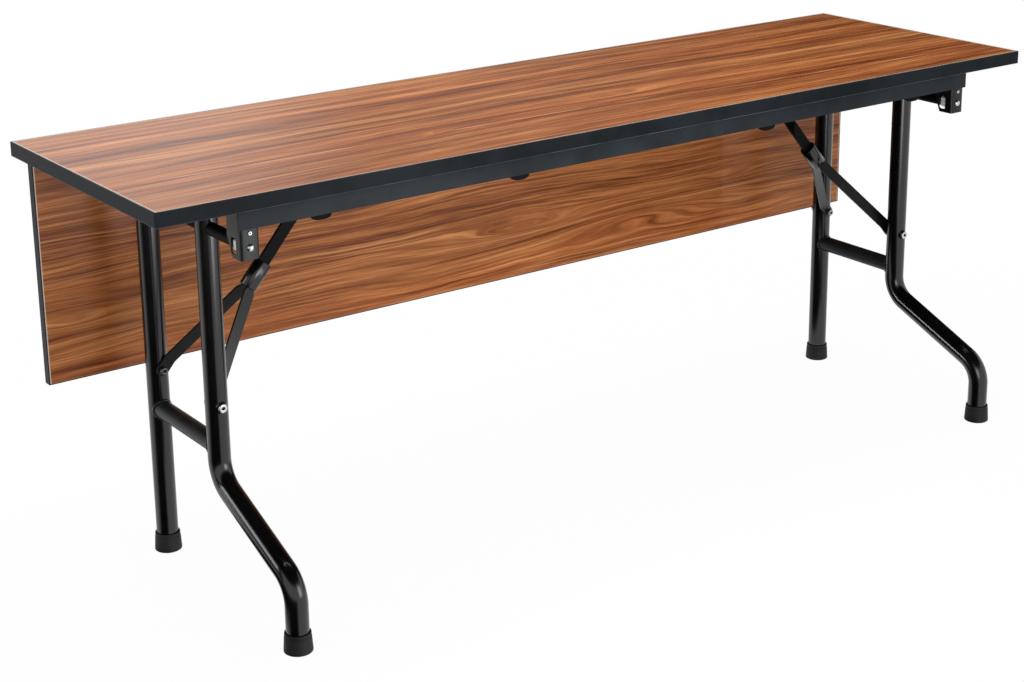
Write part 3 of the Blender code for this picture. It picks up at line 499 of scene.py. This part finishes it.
def loft(rings, closed=False, inner=0):
    """Rings of points joined one to the next. A closed loft joins its last ring to its first.

    The last bands, as many as inner says, take the second material.
    """
    bm = bmesh.new()
    made = [[bm.verts.new(point) for point in ring] for ring in rings]
    for first, second in zip(made, made[1:]):
        ring_bridge(bm, first, second)
    if closed:
        ring_bridge(bm, made[-1], made[0])
    else:
        bm.faces.new(made[0])
        bm.faces.new(made[-1])
    if inner:
        bm.faces.ensure_lookup_table()
        count = len(rings[0])
        for face in bm.faces[(len(rings) - 1 - inner) * count : (len(rings) - 1) * count]:
            face.material_index = 1
        bm.faces[-1].material_index = 1
    return bm


def along_y(direction, at):
    """A frame at a point with its Z along +Y or -Y."""
    first = Vector((1, 0, 0))
    second = Vector((0, 0, -direction))
    matrix = Matrix((first, second, first.cross(second))).transposed().to_4x4()
    matrix.translation = Vector(at)
    return matrix


def circle(radius, height, sides, frame_at):
    return [
        frame_at @ Vector((radius * math.cos(turn), radius * math.sin(turn), height))
        for turn in (math.tau * step / sides for step in range(sides))
    ]


def hexagon(across_flats, height, sides, frame_at):
    """A hexagon with as many points as the circles it is lofted to."""
    points = []
    for step in range(sides):
        turn = math.tau * step / sides
        off = (turn + math.pi / 6) % (math.pi / 3) - math.pi / 6
        radius = across_flats / 2 / math.cos(off)
        points.append(frame_at @ Vector((radius * math.cos(turn), radius * math.sin(turn), height)))
    return points


def turned(profile, sides, frame_at):
    """A lathe shape from (radius, height) points, closed by small discs at both ends."""
    return loft([circle(radius, height, sides, frame_at) for radius, height in profile])


def round_bends(corners, radius, steps):
    """A path through the corners with an arc at each one between its ends."""
    path = [Vector(corners[0])]
    for before, corner, after in zip(corners, corners[1:], corners[2:]):
        corner = Vector(corner)
        back = (Vector(before) - corner).normalized()
        ahead = (Vector(after) - corner).normalized()
        half = back.angle(ahead) / 2
        middle = corner + (back + ahead).normalized() * (radius / math.sin(half))
        start = (corner + back * (radius / math.tan(half)) - middle).normalized()
        end = (corner + ahead * (radius / math.tan(half)) - middle).normalized()
        for step in range(steps + 1):
            path.append(middle + start.slerp(end, step / steps) * radius)
    path.append(Vector(corners[-1]))
    return path


def pipe(path, radius, wall, sides=ROUND_SIDES):
    """A pipe in a plane of constant X, with its wall and its rims."""
    outer = []
    inner = []
    side = Vector((1, 0, 0))
    for number, point in enumerate(path):
        ahead = path[min(number + 1, len(path) - 1)] - point
        back = point - path[max(number - 1, 0)]
        along = (ahead.normalized() + back.normalized()).normalized()
        across = side.cross(along)
        for skin, reach in ((outer, radius), (inner, radius - wall)):
            skin.append(
                [
                    point + (side * math.cos(turn) + across * math.sin(turn)) * reach
                    for turn in (math.tau * step / sides for step in range(sides))
                ]
            )
    return loft(outer + inner[::-1], closed=True)


# Top and panel


def dress_top():
    for node, look in (
        ("top_laminate", "walnut_laminate"),
        ("top_core", "core_board"),
        ("top_backer", "backer"),
        ("front_edge_band", "black_edge"),
        ("rear_edge_band", "black_edge"),
        ("left_edge_band", "black_edge"),
        ("right_edge_band", "black_edge"),
    ):
        nodes[node].data.materials.clear()
        nodes[node].data.materials.append(looks[look])
    soften("panel_board", "walnut_panel", 0.0003)
    soften("panel_edge_band", "panel_band", 0.0004)
    soften("front_rail", "charcoal_steel", 0.0006)
    soften("rear_rail", "charcoal_steel", 0.0006)


def build_bumper(node):
    """A moulded pad under the rail with its lower corners rounded to a half moon."""
    low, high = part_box(node)
    seat = low.z + BUMPER_DROP
    front = low.y + BUMPER_FRONT_GAP
    back = low.y + BUMPER_STEM_GAP
    bm = bmesh.new()
    slices = 16
    rows = []
    for step in range(slices + 1):
        share = 2 * step / slices - 1
        x = (low.x + high.x) / 2 + share * (high.x - low.x) / 2
        moon = (1 - abs(share) ** 2.6) ** (1 / 2.2)
        base = seat - BUMPER_SHOULDER - (BUMPER_DROP - BUMPER_SHOULDER) * moon
        outline = (
            (front + BUMPER_ROUND, base),
            (front, base + BUMPER_ROUND),
            (front, seat - 0.0002),
            (front + 0.0004, seat),
            (back, seat),
            (back, seat + BUMPER_STEM),
            (high.y, seat + BUMPER_STEM),
            (high.y, base + BUMPER_ROUND),
            (high.y - BUMPER_ROUND, base),
        )
        rows.append([bm.verts.new((x, y, z)) for y, z in outline])
    for first, second in zip(rows, rows[1:]):
        ring_bridge(bm, first, second)
    bm.faces.new(rows[0])
    bm.faces.new(rows[-1])
    add_piece(f"{node}_pad", bm, "bumper_rubber", "top", node)


# Leg pivots


def join_meshes(*parts):
    """Several closed shapes in one mesh."""
    whole = bmesh.new()
    for part in parts:
        bmesh.ops.recalc_face_normals(part, faces=part.faces)
        mesh = bpy.data.meshes.new("part")
        part.to_mesh(mesh)
        part.free()
        whole.from_mesh(mesh)
        bpy.data.meshes.remove(mesh)
    return whole


def build_pivot_bolt(node, x, plate_y, inward):
    """Domed end outside the bracket, a hex nut, a collar, a spacer and the stud in the pivot tube."""
    at = along_y(inward, (x, plate_y, PIVOT_Z))
    dome_radius = 0.00625
    dome_height = 0.0042
    dome_seat = -0.0003
    shank = 0.0045
    dome_steps = 8
    profile = [(0.0001, dome_seat - dome_height)]
    for step in range(1, dome_steps + 1):
        turn = math.pi / 2 * step / dome_steps
        profile.append((dome_radius * math.sin(turn), dome_seat - dome_height * math.cos(turn)))
    profile += [(shank, dome_seat), (shank, 0.004)]
    domed = turned(profile, SMALL_SIDES, at)
    nut_flats = 0.017
    nut_end = 0.0158
    collar_flats = 0.0268
    nut = loft(
        [
            shape(size, height, SMALL_SIDES, at)
            for shape, size, height in (
                (circle, 0.0076, 0.0028),
                (hexagon, nut_flats, 0.0036),
                (hexagon, nut_flats, nut_end),
                (circle, 0.0108, nut_end),
                (circle, 0.01125, nut_end + 0.0005),
                (circle, 0.01125, nut_end + 0.0026),
                (circle, 0.0120, nut_end + 0.0032),
                (hexagon, collar_flats, nut_end + 0.0044),
                (hexagon, collar_flats, 0.0306),
                (circle, 0.0120, 0.0318),
                (circle, 0.0081, 0.0320),
                (circle, 0.0081, 0.0541),
                (circle, 0.0076, 0.0546),
            )
        ]
    )
    # The nut, collar and spacer take the paler zinc copy: painted light.
    for face in nut.faces:
        face.material_index = 1
    add_piece(f"{node}_plated", join_meshes(domed, nut), "zinc_steel", "top", node, inner_look="lit_dull_zinc")


def socket_head(profile, across_flats, face, depth, sides, at):
    """A lathe shape whose upper face has a hex socket, in the second material, which the callers make black
    as painted shade in the socket.
    """
    rings = [circle(radius, height, sides, at) for radius, height in profile]
    rings += [
        circle(across_flats / 2 + 0.0009, face, sides, at),
        hexagon(across_flats, face - 0.0003, sides, at),
        hexagon(across_flats, face - depth, sides, at),
        circle(0.0003, face - depth - 0.0006, sides, at),
    ]
    return loft(rings, inner=2)


def build_bracket_screw(node, x, plate_y):
    """A small domed screw with a hex socket, over its shank."""
    at = along_y(-1, (x, plate_y, PIVOT_Z + SCREW_ABOVE_PIVOT))
    face = 0.0022
    profile = (
        (0.0002, -0.0064),
        (0.00205, -0.0062),
        (0.00225, 0.0003),
        (0.0037, 0.0003),
        (0.0038, 0.0009),
        (0.0034, 0.0018),
        (0.0028, face),
    )
    bm = socket_head(profile, 0.0025, face, 0.0013, SMALL_SIDES, at)
    # The socket takes the black bar paint: painted shade in the recess.
    add_piece(f"{node}_plated", bm, "zinc_steel", "top", node, inner_look="black_bar")


def build_pivots(label, side):
    x = side * LEG_X
    for place, inward in (("front", 1), ("rear", -1)):
        bracket = f"{label}_{place}_bracket"
        low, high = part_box(bracket)
        soften(bracket, "bracket_coat", 0.0007)
        plate_y = low.y if inward > 0 else high.y
        build_pivot_bolt(f"{label}_{place}_pivot_bolt", x, plate_y, inward)
    low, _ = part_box(f"{label}_front_bracket")
    build_bracket_screw(f"{label}_bracket_screw", x, low.y)


# Leg frames


def build_ferrule(node, x, y, body):
    """A moulded rubber foot with a lip, a ring groove and a rolled base."""
    at = Matrix.Translation((x, y, 0))
    profile = [
        (0.0002, 0.0006),
        (0.0150, 0.0006),
        (0.0165, 0.0),
        (0.0215, 0.0),
        (0.0231, 0.0003),
        (0.0239, 0.0010),
        (0.02415, 0.0022),
        (0.0240, 0.0045),
        (0.02255, 0.0262),
        (0.0223, 0.0270),
        (0.0218, 0.0273),
        (0.0218, 0.0278),
        (0.0222, 0.0281),
        (0.02205, 0.0326),
        (0.0218, 0.0335),
        (0.0213, 0.0340),
        (0.0206, 0.0340),
        (0.0199, 0.0336),
        (0.0196, 0.0326),
        (0.0196, 0.0044),
        (0.0002, 0.0044),
    ]
    bm = turned(profile, TUBE_SIDES, at)
    add_piece(f"{node}_moulded", bm, "black_rubber", body, node, sharp=50)


def weld_bead(name, x, y, direction, body):
    """A bead round the crossbar's end where it meets a leg tube."""
    rings = []
    steps = 96
    for step in range(steps):
        turn = math.tau * step / steps
        reach = CROSSBAR_RADIUS + 0.0008
        dx, dz = reach * math.cos(turn), reach * math.sin(turn)
        dy = math.sqrt(LEG_RADIUS**2 - dx**2) + 0.0006
        bead = 0.0020 + 0.0004 * math.sin(17 * turn) + 0.0002 * math.sin(41 * turn + 1)
        centre = Vector((x + dx, y + direction * dy, CROSSBAR_Z + dz))
        out = Vector((math.cos(turn), 0, math.sin(turn)))
        away = Vector((0, direction, 0))
        rings.append(
            [
                centre + (out * math.cos(part) + away * math.sin(part)) * bead
                for part in (math.tau * bit / 10 for bit in range(10))
            ]
        )
    add_piece(name, loft(rings, closed=True), "black_powder_coat", body)


def build_brace_bolt(node, x, y, outward, body):
    """A button head with a hex socket, over a shank through the tube."""
    at = along_y(outward, (x, y, BRACE_LEG_Z))
    seat = LEG_RADIUS + 0.0003
    end = 0.0003 - LEG_RADIUS
    shank = 0.004
    head = 0.00775
    profile = (
        (0.0002, end),
        (shank, end),
        (shank, seat),
        (head - 0.0003, seat),
        (head, seat + 0.0006),
        (head, seat + 0.0040),
        (head * 0.985, seat + 0.0046),
        (head * 0.94, seat + 0.0050),
        (head * 0.70, seat + 0.0053),
    )
    bm = socket_head(profile, 0.006, seat + 0.0055, 0.0036, ROUND_SIDES, at)
    # The socket takes the black bar paint: painted shade in the recess.
    add_piece(f"{node}_plated", bm, "zinc_steel", body, node, inner_look="black_bar")
    dimple(f"{node}_seat", at, body)


def dimple(name, at, body):
    """The rim pressed into the tube round a bolt's head, as rings of (radius, lift off the tube)."""
    rings = []
    for radius, lift in (
        (0.0080, 0.0002),
        (0.0081, 0.0012),
        (0.0088, 0.0016),
        (0.0098, 0.0009),
        (0.0108, -0.0002),
        (0.0104, -0.0006),
        (0.0080, -0.0006),
    ):
        ring = []
        for step in range(ROUND_SIDES):
            turn = math.tau * step / ROUND_SIDES
            dx, dz = radius * math.cos(turn), radius * math.sin(turn)
            ring.append(at @ Vector((dx, dz, math.sqrt(LEG_RADIUS**2 - dx**2) + lift)))
        rings.append(ring)
    add_piece(name, loft(rings, closed=True), "black_powder_coat", body)


def build_leg(label, side):
    x = side * LEG_X
    body = f"{label}_leg"
    rear = [Vector((x, REAR_TUBE_Y, TUBE_FOOT_Z)), Vector((x, REAR_TUBE_Y, TUBE_TOP_Z))]
    front = round_bends(
        [
            (x, FRONT_FOOT_Y, TUBE_FOOT_Z),
            (x, FRONT_FOOT_Y, BEND_LOW_Z),
            (x, FRONT_TUBE_Y, BEND_HIGH_Z),
            (x, FRONT_TUBE_Y, TUBE_TOP_Z),
        ],
        BEND_RADIUS,
        20,
    )
    for place, path in (("rear", rear), ("front", front)):
        node = f"{label}_{place}_tube"
        tube = pipe(path, LEG_RADIUS, LEG_WALL, TUBE_SIDES)
        add_piece(f"{node}_drawn", tube, "black_powder_coat", body, node)
    node = f"{label}_crossbar"
    ends = (FRONT_TUBE_Y + CROSSBAR_SINK, REAR_TUBE_Y - CROSSBAR_SINK)
    bar = pipe([Vector((x, y, CROSSBAR_Z)) for y in ends], CROSSBAR_RADIUS, CROSSBAR_WALL, TUBE_SIDES)
    add_piece(f"{node}_drawn", bar, "lit_black_bar", body, node)
    weld_bead(f"{label}_front_weld", x, FRONT_TUBE_Y, 1, body)
    weld_bead(f"{label}_rear_weld", x, REAR_TUBE_Y, -1, body)
    node = f"{label}_pivot_tube"
    low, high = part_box(node)
    bar = pipe([Vector((x, y, PIVOT_Z)) for y in (low.y, high.y)], PIVOT_RADIUS, PIVOT_WALL)
    add_piece(f"{node}_drawn", bar, "shaded_matte_bar", body, node)
    build_ferrule(f"{label}_rear_ferrule", x, REAR_TUBE_Y, body)
    build_ferrule(f"{label}_front_ferrule", x, FRONT_FOOT_Y, body)
    build_brace_bolt(f"{label}_rear_brace_bolt", x, REAR_TUBE_Y, 1, body)
    build_brace_bolt(f"{label}_front_brace_bolt", x, FRONT_TUBE_Y, -1, body)


# Lock braces


def rounded_rectangle(width, height, radius, steps):
    """Points of a rectangle about the origin, with an arc at each corner."""
    points = []
    x, y = width / 2 - radius, height / 2 - radius
    for number, (side_x, side_y) in enumerate(((1, 1), (-1, 1), (-1, -1), (1, -1))):
        for step in range(steps + 1):
            turn = math.pi / 2 * (number + step / steps)
            points.append((side_x * x + radius * math.cos(turn), side_y * y + radius * math.sin(turn)))
    return points


def build_sleeve(label, elbow, along):
    """A drawn sleeve of rounded section with eased rims, as rings of (growth, place along the bar)."""
    node = f"{label}_lock_sleeve"
    across = Vector((-along.z, 0, along.x))
    depth = Vector((0, 1, 0))
    rings = []
    for grow, place in (
        (-0.0005, -0.037),
        (0.0, -0.0364),
        (0.0, 0.0124),
        (-0.0005, 0.013),
        (-0.0013, 0.013),
        (-0.0018, 0.0125),
        (-0.0018, -0.0365),
        (-0.0013, -0.037),
    ):
        width = SLEEVE_WIDTH + 2 * grow
        section = rounded_rectangle(width, SLEEVE_DEPTH + 2 * grow, SLEEVE_ROUND + grow, 14)
        rings.append([elbow + along * place + across * u + depth * v for u, v in section])
    add_piece(f"{node}_drawn", loft(rings, closed=True), "black_powder_coat", f"{label}_sleeve", node)


def build_rivet(node, look):
    """A pin along Y with a low domed head at each end."""
    low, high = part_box(node)
    middle = (low + high) / 2
    end = (high.y - low.y) / 2
    seat = end - 0.0022
    at = along_y(1, middle)
    head = (high.x - low.x) / 2
    upper = [
        (0.004, seat),
        (head, seat),
        (head, seat + 0.0007),
        (head * 0.93, seat + 0.0014),
        (head * 0.7, seat + 0.0020),
        (head * 0.3, end),
        (0.0002, end),
    ]
    profile = [(radius, -height) for radius, height in upper[::-1]] + upper
    add_piece(f"{node}_turned", turned(profile, 32, at), look, body_of(node), node)


def build_brace_nut(node, direction, x, look):
    """A round nut with a hex socket on the inner face of a lower bar."""
    low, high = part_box(node)
    inner_y = high.y if direction < 0 else low.y
    outer_y = low.y if direction < 0 else high.y
    at = along_y(-direction, (x, outer_y, BRACE_LEG_Z))
    length = abs(inner_y - outer_y)
    stub = 0.0045
    head = 0.0073
    profile = (
        (0.0002, 0.0),
        (0.004, 0.0),
        (0.004, stub),
        (0.0070, stub),
        (head, stub + 0.0004),
        (head, length - 0.0022),
        (0.0068, length - 0.0009),
        (0.0054, length),
    )
    bm = socket_head(profile, 0.006, length, 0.0028, ROUND_SIDES, at)
    # The socket takes the black bar paint: painted shade in the recess.
    add_piece(f"{node}_turned", bm, look, body_of(node), node, inner_look="black_bar")


def build_brace(label, side):
    leg = Vector((side * LEG_X, MIDDLE_Y, BRACE_LEG_Z))
    top = Vector((side * BRACE_TOP_X, MIDDLE_Y, BRACE_TOP_Z))
    elbow = leg.lerp(top, ELBOW_SHARE)
    along = (top - leg).normalized()
    build_sleeve(label, elbow, along)
    soften(f"{label}_upper_bar", "shaded_matte_bar", 0.0008, 3)
    soften(f"{label}_front_lower_bar", "satin_bar" if side < 0 else "black_bar", 0.0007, 3)
    soften(f"{label}_rear_lower_bar", "black_bar" if side < 0 else "satin_bar", 0.0007, 3)
    soften(f"{label}_brace_bracket", "charcoal_steel", 0.0007)
    build_rivet(f"{label}_elbow_rivet", "dark_steel")
    build_rivet(f"{label}_brace_pin", "dark_steel")
    # The same nut takes a dark steel look on the left, painted shade for the nuts in shadow under the top,
    # and a paler plated look on the right.
    nut_look_by_shade = "dark_steel" if side < 0 else "bright_nut"
    build_brace_nut(f"{label}_front_brace_nut", -1, side * LEG_X, nut_look_by_shade)
    build_brace_nut(f"{label}_rear_brace_nut", 1, side * LEG_X, nut_look_by_shade)


# Studio


def studio_rays(tree):
    """One for camera, glossy and transmission rays, else nought."""
    path = tree.nodes.new("ShaderNodeLightPath")
    seen = path.outputs["Is Camera Ray"]
    for name in ("Is Glossy Ray", "Is Transmission Ray"):
        node = tree.nodes.new("ShaderNodeMath")
        node.operation = "MAXIMUM"
        tree.links.new(seen, node.inputs[0])
        tree.links.new(path.outputs[name], node.inputs[1])
        seen = node.outputs[0]
    return seen


def build_world():
    world = bpy.data.worlds.new("studio")
    world.use_nodes = True
    bpy.context.scene.world = world
    tree = world.node_tree
    back = tree.nodes["Background"]
    back.inputs["Color"].default_value = (1.0, 1.0, 1.0, 1.0)
    level = tree.nodes.new("ShaderNodeMapRange")
    tree.links.new(studio_rays(tree), level.inputs["Value"])
    level.inputs["To Min"].default_value = 0.72
    level.inputs["To Max"].default_value = 1.0
    tree.links.new(level.outputs[0], back.inputs["Strength"])


def build_floor():
    g = Graph("studio_floor")
    g.tree.nodes.remove(g.shader)
    matte = g.add("ShaderNodeBsdfDiffuse")
    matte.inputs["Color"].default_value = (0.86, 0.86, 0.86, 1.0)
    glow = g.add("ShaderNodeEmission")
    x, y, _ = g.split(g.spot)
    away = g.math("SQRT", g.total(g.math("MULTIPLY", x, x), g.math("MULTIPLY", y, y)))
    amount = g.math("MULTIPLY", studio_rays(g.tree), g.span(away, 1.2, 2.6, 0.97, 1.0))
    mixed = g.add("ShaderNodeMixShader")
    g.feed(mixed.inputs[0], amount)
    g.feed(mixed.inputs[1], matte.outputs[0])
    g.feed(mixed.inputs[2], glow.outputs[0])
    g.feed(g.output.inputs["Surface"], mixed.outputs[0])
    bm = bmesh.new()
    bmesh.ops.create_grid(bm, x_segments=1, y_segments=1, size=20)
    mesh = bpy.data.meshes.new("studio_floor")
    bm.to_mesh(mesh)
    bm.free()
    mesh.materials.append(g.material)
    floor = bpy.data.objects.new("studio_floor", mesh)
    floor.location.z = -0.0004
    bpy.context.scene.collection.objects.link(floor)


def add_lamp(name, at, aim, width, height, power, spread=180.0, lights_all=True):
    """An area lamp in watts and metres. One that doesn't light all shows only in reflections."""
    lamp = bpy.data.lights.new(name, "AREA")
    lamp.shape = "RECTANGLE"
    lamp.size = width
    lamp.size_y = height
    lamp.energy = power
    lamp.spread = math.radians(spread)
    obj = bpy.data.objects.new(name, lamp)
    obj.location = at
    obj.rotation_euler = (Vector(aim) - Vector(at)).to_track_quat("-Z", "Y").to_euler()
    obj.visible_camera = False
    obj.visible_diffuse = lights_all
    bpy.context.scene.collection.objects.link(obj)


def add_flag(name, points, at, turn, tilt, shade):
    """A dark studio card that only reflections show, with its edges fading as the shade says."""
    g = Graph(name)
    g.tree.nodes.remove(g.shader)
    clear = g.add("ShaderNodeBsdfTransparent")
    dark = g.add("ShaderNodeEmission")
    dark.inputs["Color"].default_value = (0.012, 0.012, 0.013, 1.0)
    mixed = g.add("ShaderNodeMixShader")
    g.feed(mixed.inputs[0], shade(g))
    g.feed(mixed.inputs[1], clear.outputs[0])
    g.feed(mixed.inputs[2], dark.outputs[0])
    g.feed(g.output.inputs["Surface"], mixed.outputs[0])
    bm = bmesh.new()
    bm.faces.new([bm.verts.new((x, y, 0.0)) for x, y in points])
    mesh = bpy.data.meshes.new(name)
    bm.to_mesh(mesh)
    bm.free()
    mesh.materials.append(g.material)
    card = bpy.data.objects.new(name, mesh)
    card.location = at
    card.rotation_euler = (tilt, 0.0, turn)
    bpy.context.scene.collection.objects.link(card)
    card.visible_camera = False
    card.visible_diffuse = False
    card.visible_transmission = False
    card.visible_shadow = False


def rear_shade(g):
    """Clear at the left end of the card and dark at the right."""
    x, _, _ = g.split(g.spot)
    return g.total(g.span(x, -2.65, -1.7, 0.0, 0.75), g.span(x, -1.7, 0.2, 0.0, 0.25))


def ceiling_shade(g):
    """Dark over the table, clear far from it."""
    x, y, _ = g.split(g.spot)
    away = g.math("SQRT", g.total(g.math("MULTIPLY", x, x), g.math("MULTIPLY", y, y)))
    return g.span(away, 4.8, 6.2, 1.0, 0.0)


def wedge_shade(g):
    """Fades by the angle about the foot that the card starts from."""
    x, y, _ = g.split(g.spot)
    spread = g.math("DIVIDE", y, g.math("MAXIMUM", x, 0.01))
    return g.math("MULTIPLY", g.span(spread, 0.0, 0.35, 1.0, 0.0), g.span(spread, -3.4, -1.2, 0.4, 1.0))


def right_shade(g):
    """Clear along a slit, through which the dog-leg shows the low rear lamp, and at the far edge."""
    x, y, _ = g.split(g.spot)
    edge = g.total(x, g.span(y, 0.12, 0.32, 0.24, 0.0, smooth=False))
    off = g.math("ABSOLUTE", g.math("SUBTRACT", y, g.math("MULTIPLY_ADD", x, 0.41, 0.212)))
    slit = g.span(off, 0.016, 0.032)
    slit = g.math("MAXIMUM", slit, g.span(g.math("ABSOLUTE", g.math("ADD", x, 0.09)), 0.13, 0.17))
    return g.math("MULTIPLY", slit, g.span(edge, -0.34, -0.22))


def left_shade(g):
    """Clear at both ends."""
    x, _, _ = g.split(g.spot)
    return g.span(g.math("ABSOLUTE", x), 1.3, 1.8, 1.0, 0.0)


def build_lamps():
    add_lamp("overhead", (0.0, 0.2, 2.65), (0.0, 0.08, 0.7), width=2.6, height=0.6, power=30.0)
    add_lamp("left_strip", (-3.2, 1.25, 1.25), (-0.7, 0.0, 0.35), width=0.5, height=1.0, power=10.0)
    add_lamp(
        "front_fill",
        (-0.12, -1.25, 0.45),
        (-0.07, 0.27, 0.46),
        width=0.9,
        height=0.5,
        power=3.7,
        spread=120.0,
    )
    add_lamp(
        "rear_kicker",
        (-1.9, 1.12, 0.27),
        (0.8, -0.19, 0.165),
        width=0.6,
        height=0.3,
        power=0.38,
        spread=40.0,
        lights_all=False,
    )


def build_flags():
    """Cards behind the top's right half, overhead and at the left, and small ones at the leg frames.

    The cards on the floor start at a foot and run towards the camera.
    """
    upright = math.radians(90)
    rear = ((-3.2, -1.8), (3.0, -1.8), (3.0, 1.8), (-3.2, 1.8))
    add_flag("rear_flag", rear, (3.41, 2.97, 1.75), math.radians(-44), upright, rear_shade)
    ceiling = ((-6.5, -6.5), (6.5, -6.5), (6.5, 6.5), (-6.5, 6.5))
    add_flag("ceiling_flag", ceiling, (0.0, 0.0, 3.3), 0.0, 0.0, ceiling_shade)
    left = ((-1.8, -1.35), (1.8, -1.35), (1.8, 1.6), (-1.8, 1.6))
    add_flag("left_flag", left, (-3.9, 1.9, 1.36), math.radians(56), upright, left_shade)
    wedge = ((0.0, 0.0), (0.6, -3.2), (2.4, -3.2), (2.4, 1.4))
    short = ((0.0, 0.0), (0.12, -0.5), (0.5, -0.5), (0.5, 0.22))
    for name, outline, x, y, z in (
        ("rear_floor_flag", wedge, -LEG_X, REAR_TUBE_Y, 0.0015),
        ("front_floor_flag", wedge, -LEG_X, FRONT_FOOT_Y, 0.0019),
        ("foot_flag", short, LEG_X, FRONT_FOOT_Y, 0.0019),
    ):
        turn = math.atan2(CAMERA_AT[1] - y, CAMERA_AT[0] - x)
        add_flag(name, outline, (x, y, z), turn, 0.0, wedge_shade)
    right = ((-0.6, 0.0), (0.28, 0.0), (0.28, 0.66), (-0.36, 0.66), (-0.36, 0.3), (-0.6, 0.18))
    add_flag("right_flag", right, (LEG_X - 0.2, 0.0, 0.001), math.radians(90), upright, right_shade)


def build_camera():
    level = math.cos(CAMERA_PITCH)
    ahead = Vector((math.sin(CAMERA_YAW) * level, math.cos(CAMERA_YAW) * level, -math.sin(CAMERA_PITCH)))
    right = Vector((math.cos(CAMERA_YAW), -math.sin(CAMERA_YAW), 0))
    up = right.cross(ahead)
    across = right * math.cos(CAMERA_ROLL) + up * math.sin(CAMERA_ROLL)
    above = up * math.cos(CAMERA_ROLL) - right * math.sin(CAMERA_ROLL)
    matrix = Matrix((across, above, -ahead)).transposed().to_4x4()
    matrix.translation = Vector(CAMERA_AT)
    data = bpy.data.cameras.new("camera")
    data.sensor_fit = "HORIZONTAL"
    data.sensor_width = SENSOR_WIDTH
    data.lens = FOCAL_PIXELS * SENSOR_WIDTH / PHOTO_WIDTH_PIXELS
    data.shift_y = LENS_SHIFT
    data.clip_end = 200.0
    camera = bpy.data.objects.new("camera", data)
    camera.matrix_world = matrix
    bpy.context.scene.collection.objects.link(camera)
    bpy.context.scene.camera = camera


dress_top()
for label, side in SIDES:
    build_bumper(f"{label}_outer_bumper")
    build_bumper(f"{label}_inner_bumper")
    build_pivots(label, side)
    build_leg(label, side)
    build_brace(label, side)
build_world()
build_floor()
build_lamps()
build_flags()
build_camera()
bpy.context.scene.view_settings.view_transform = "Standard"
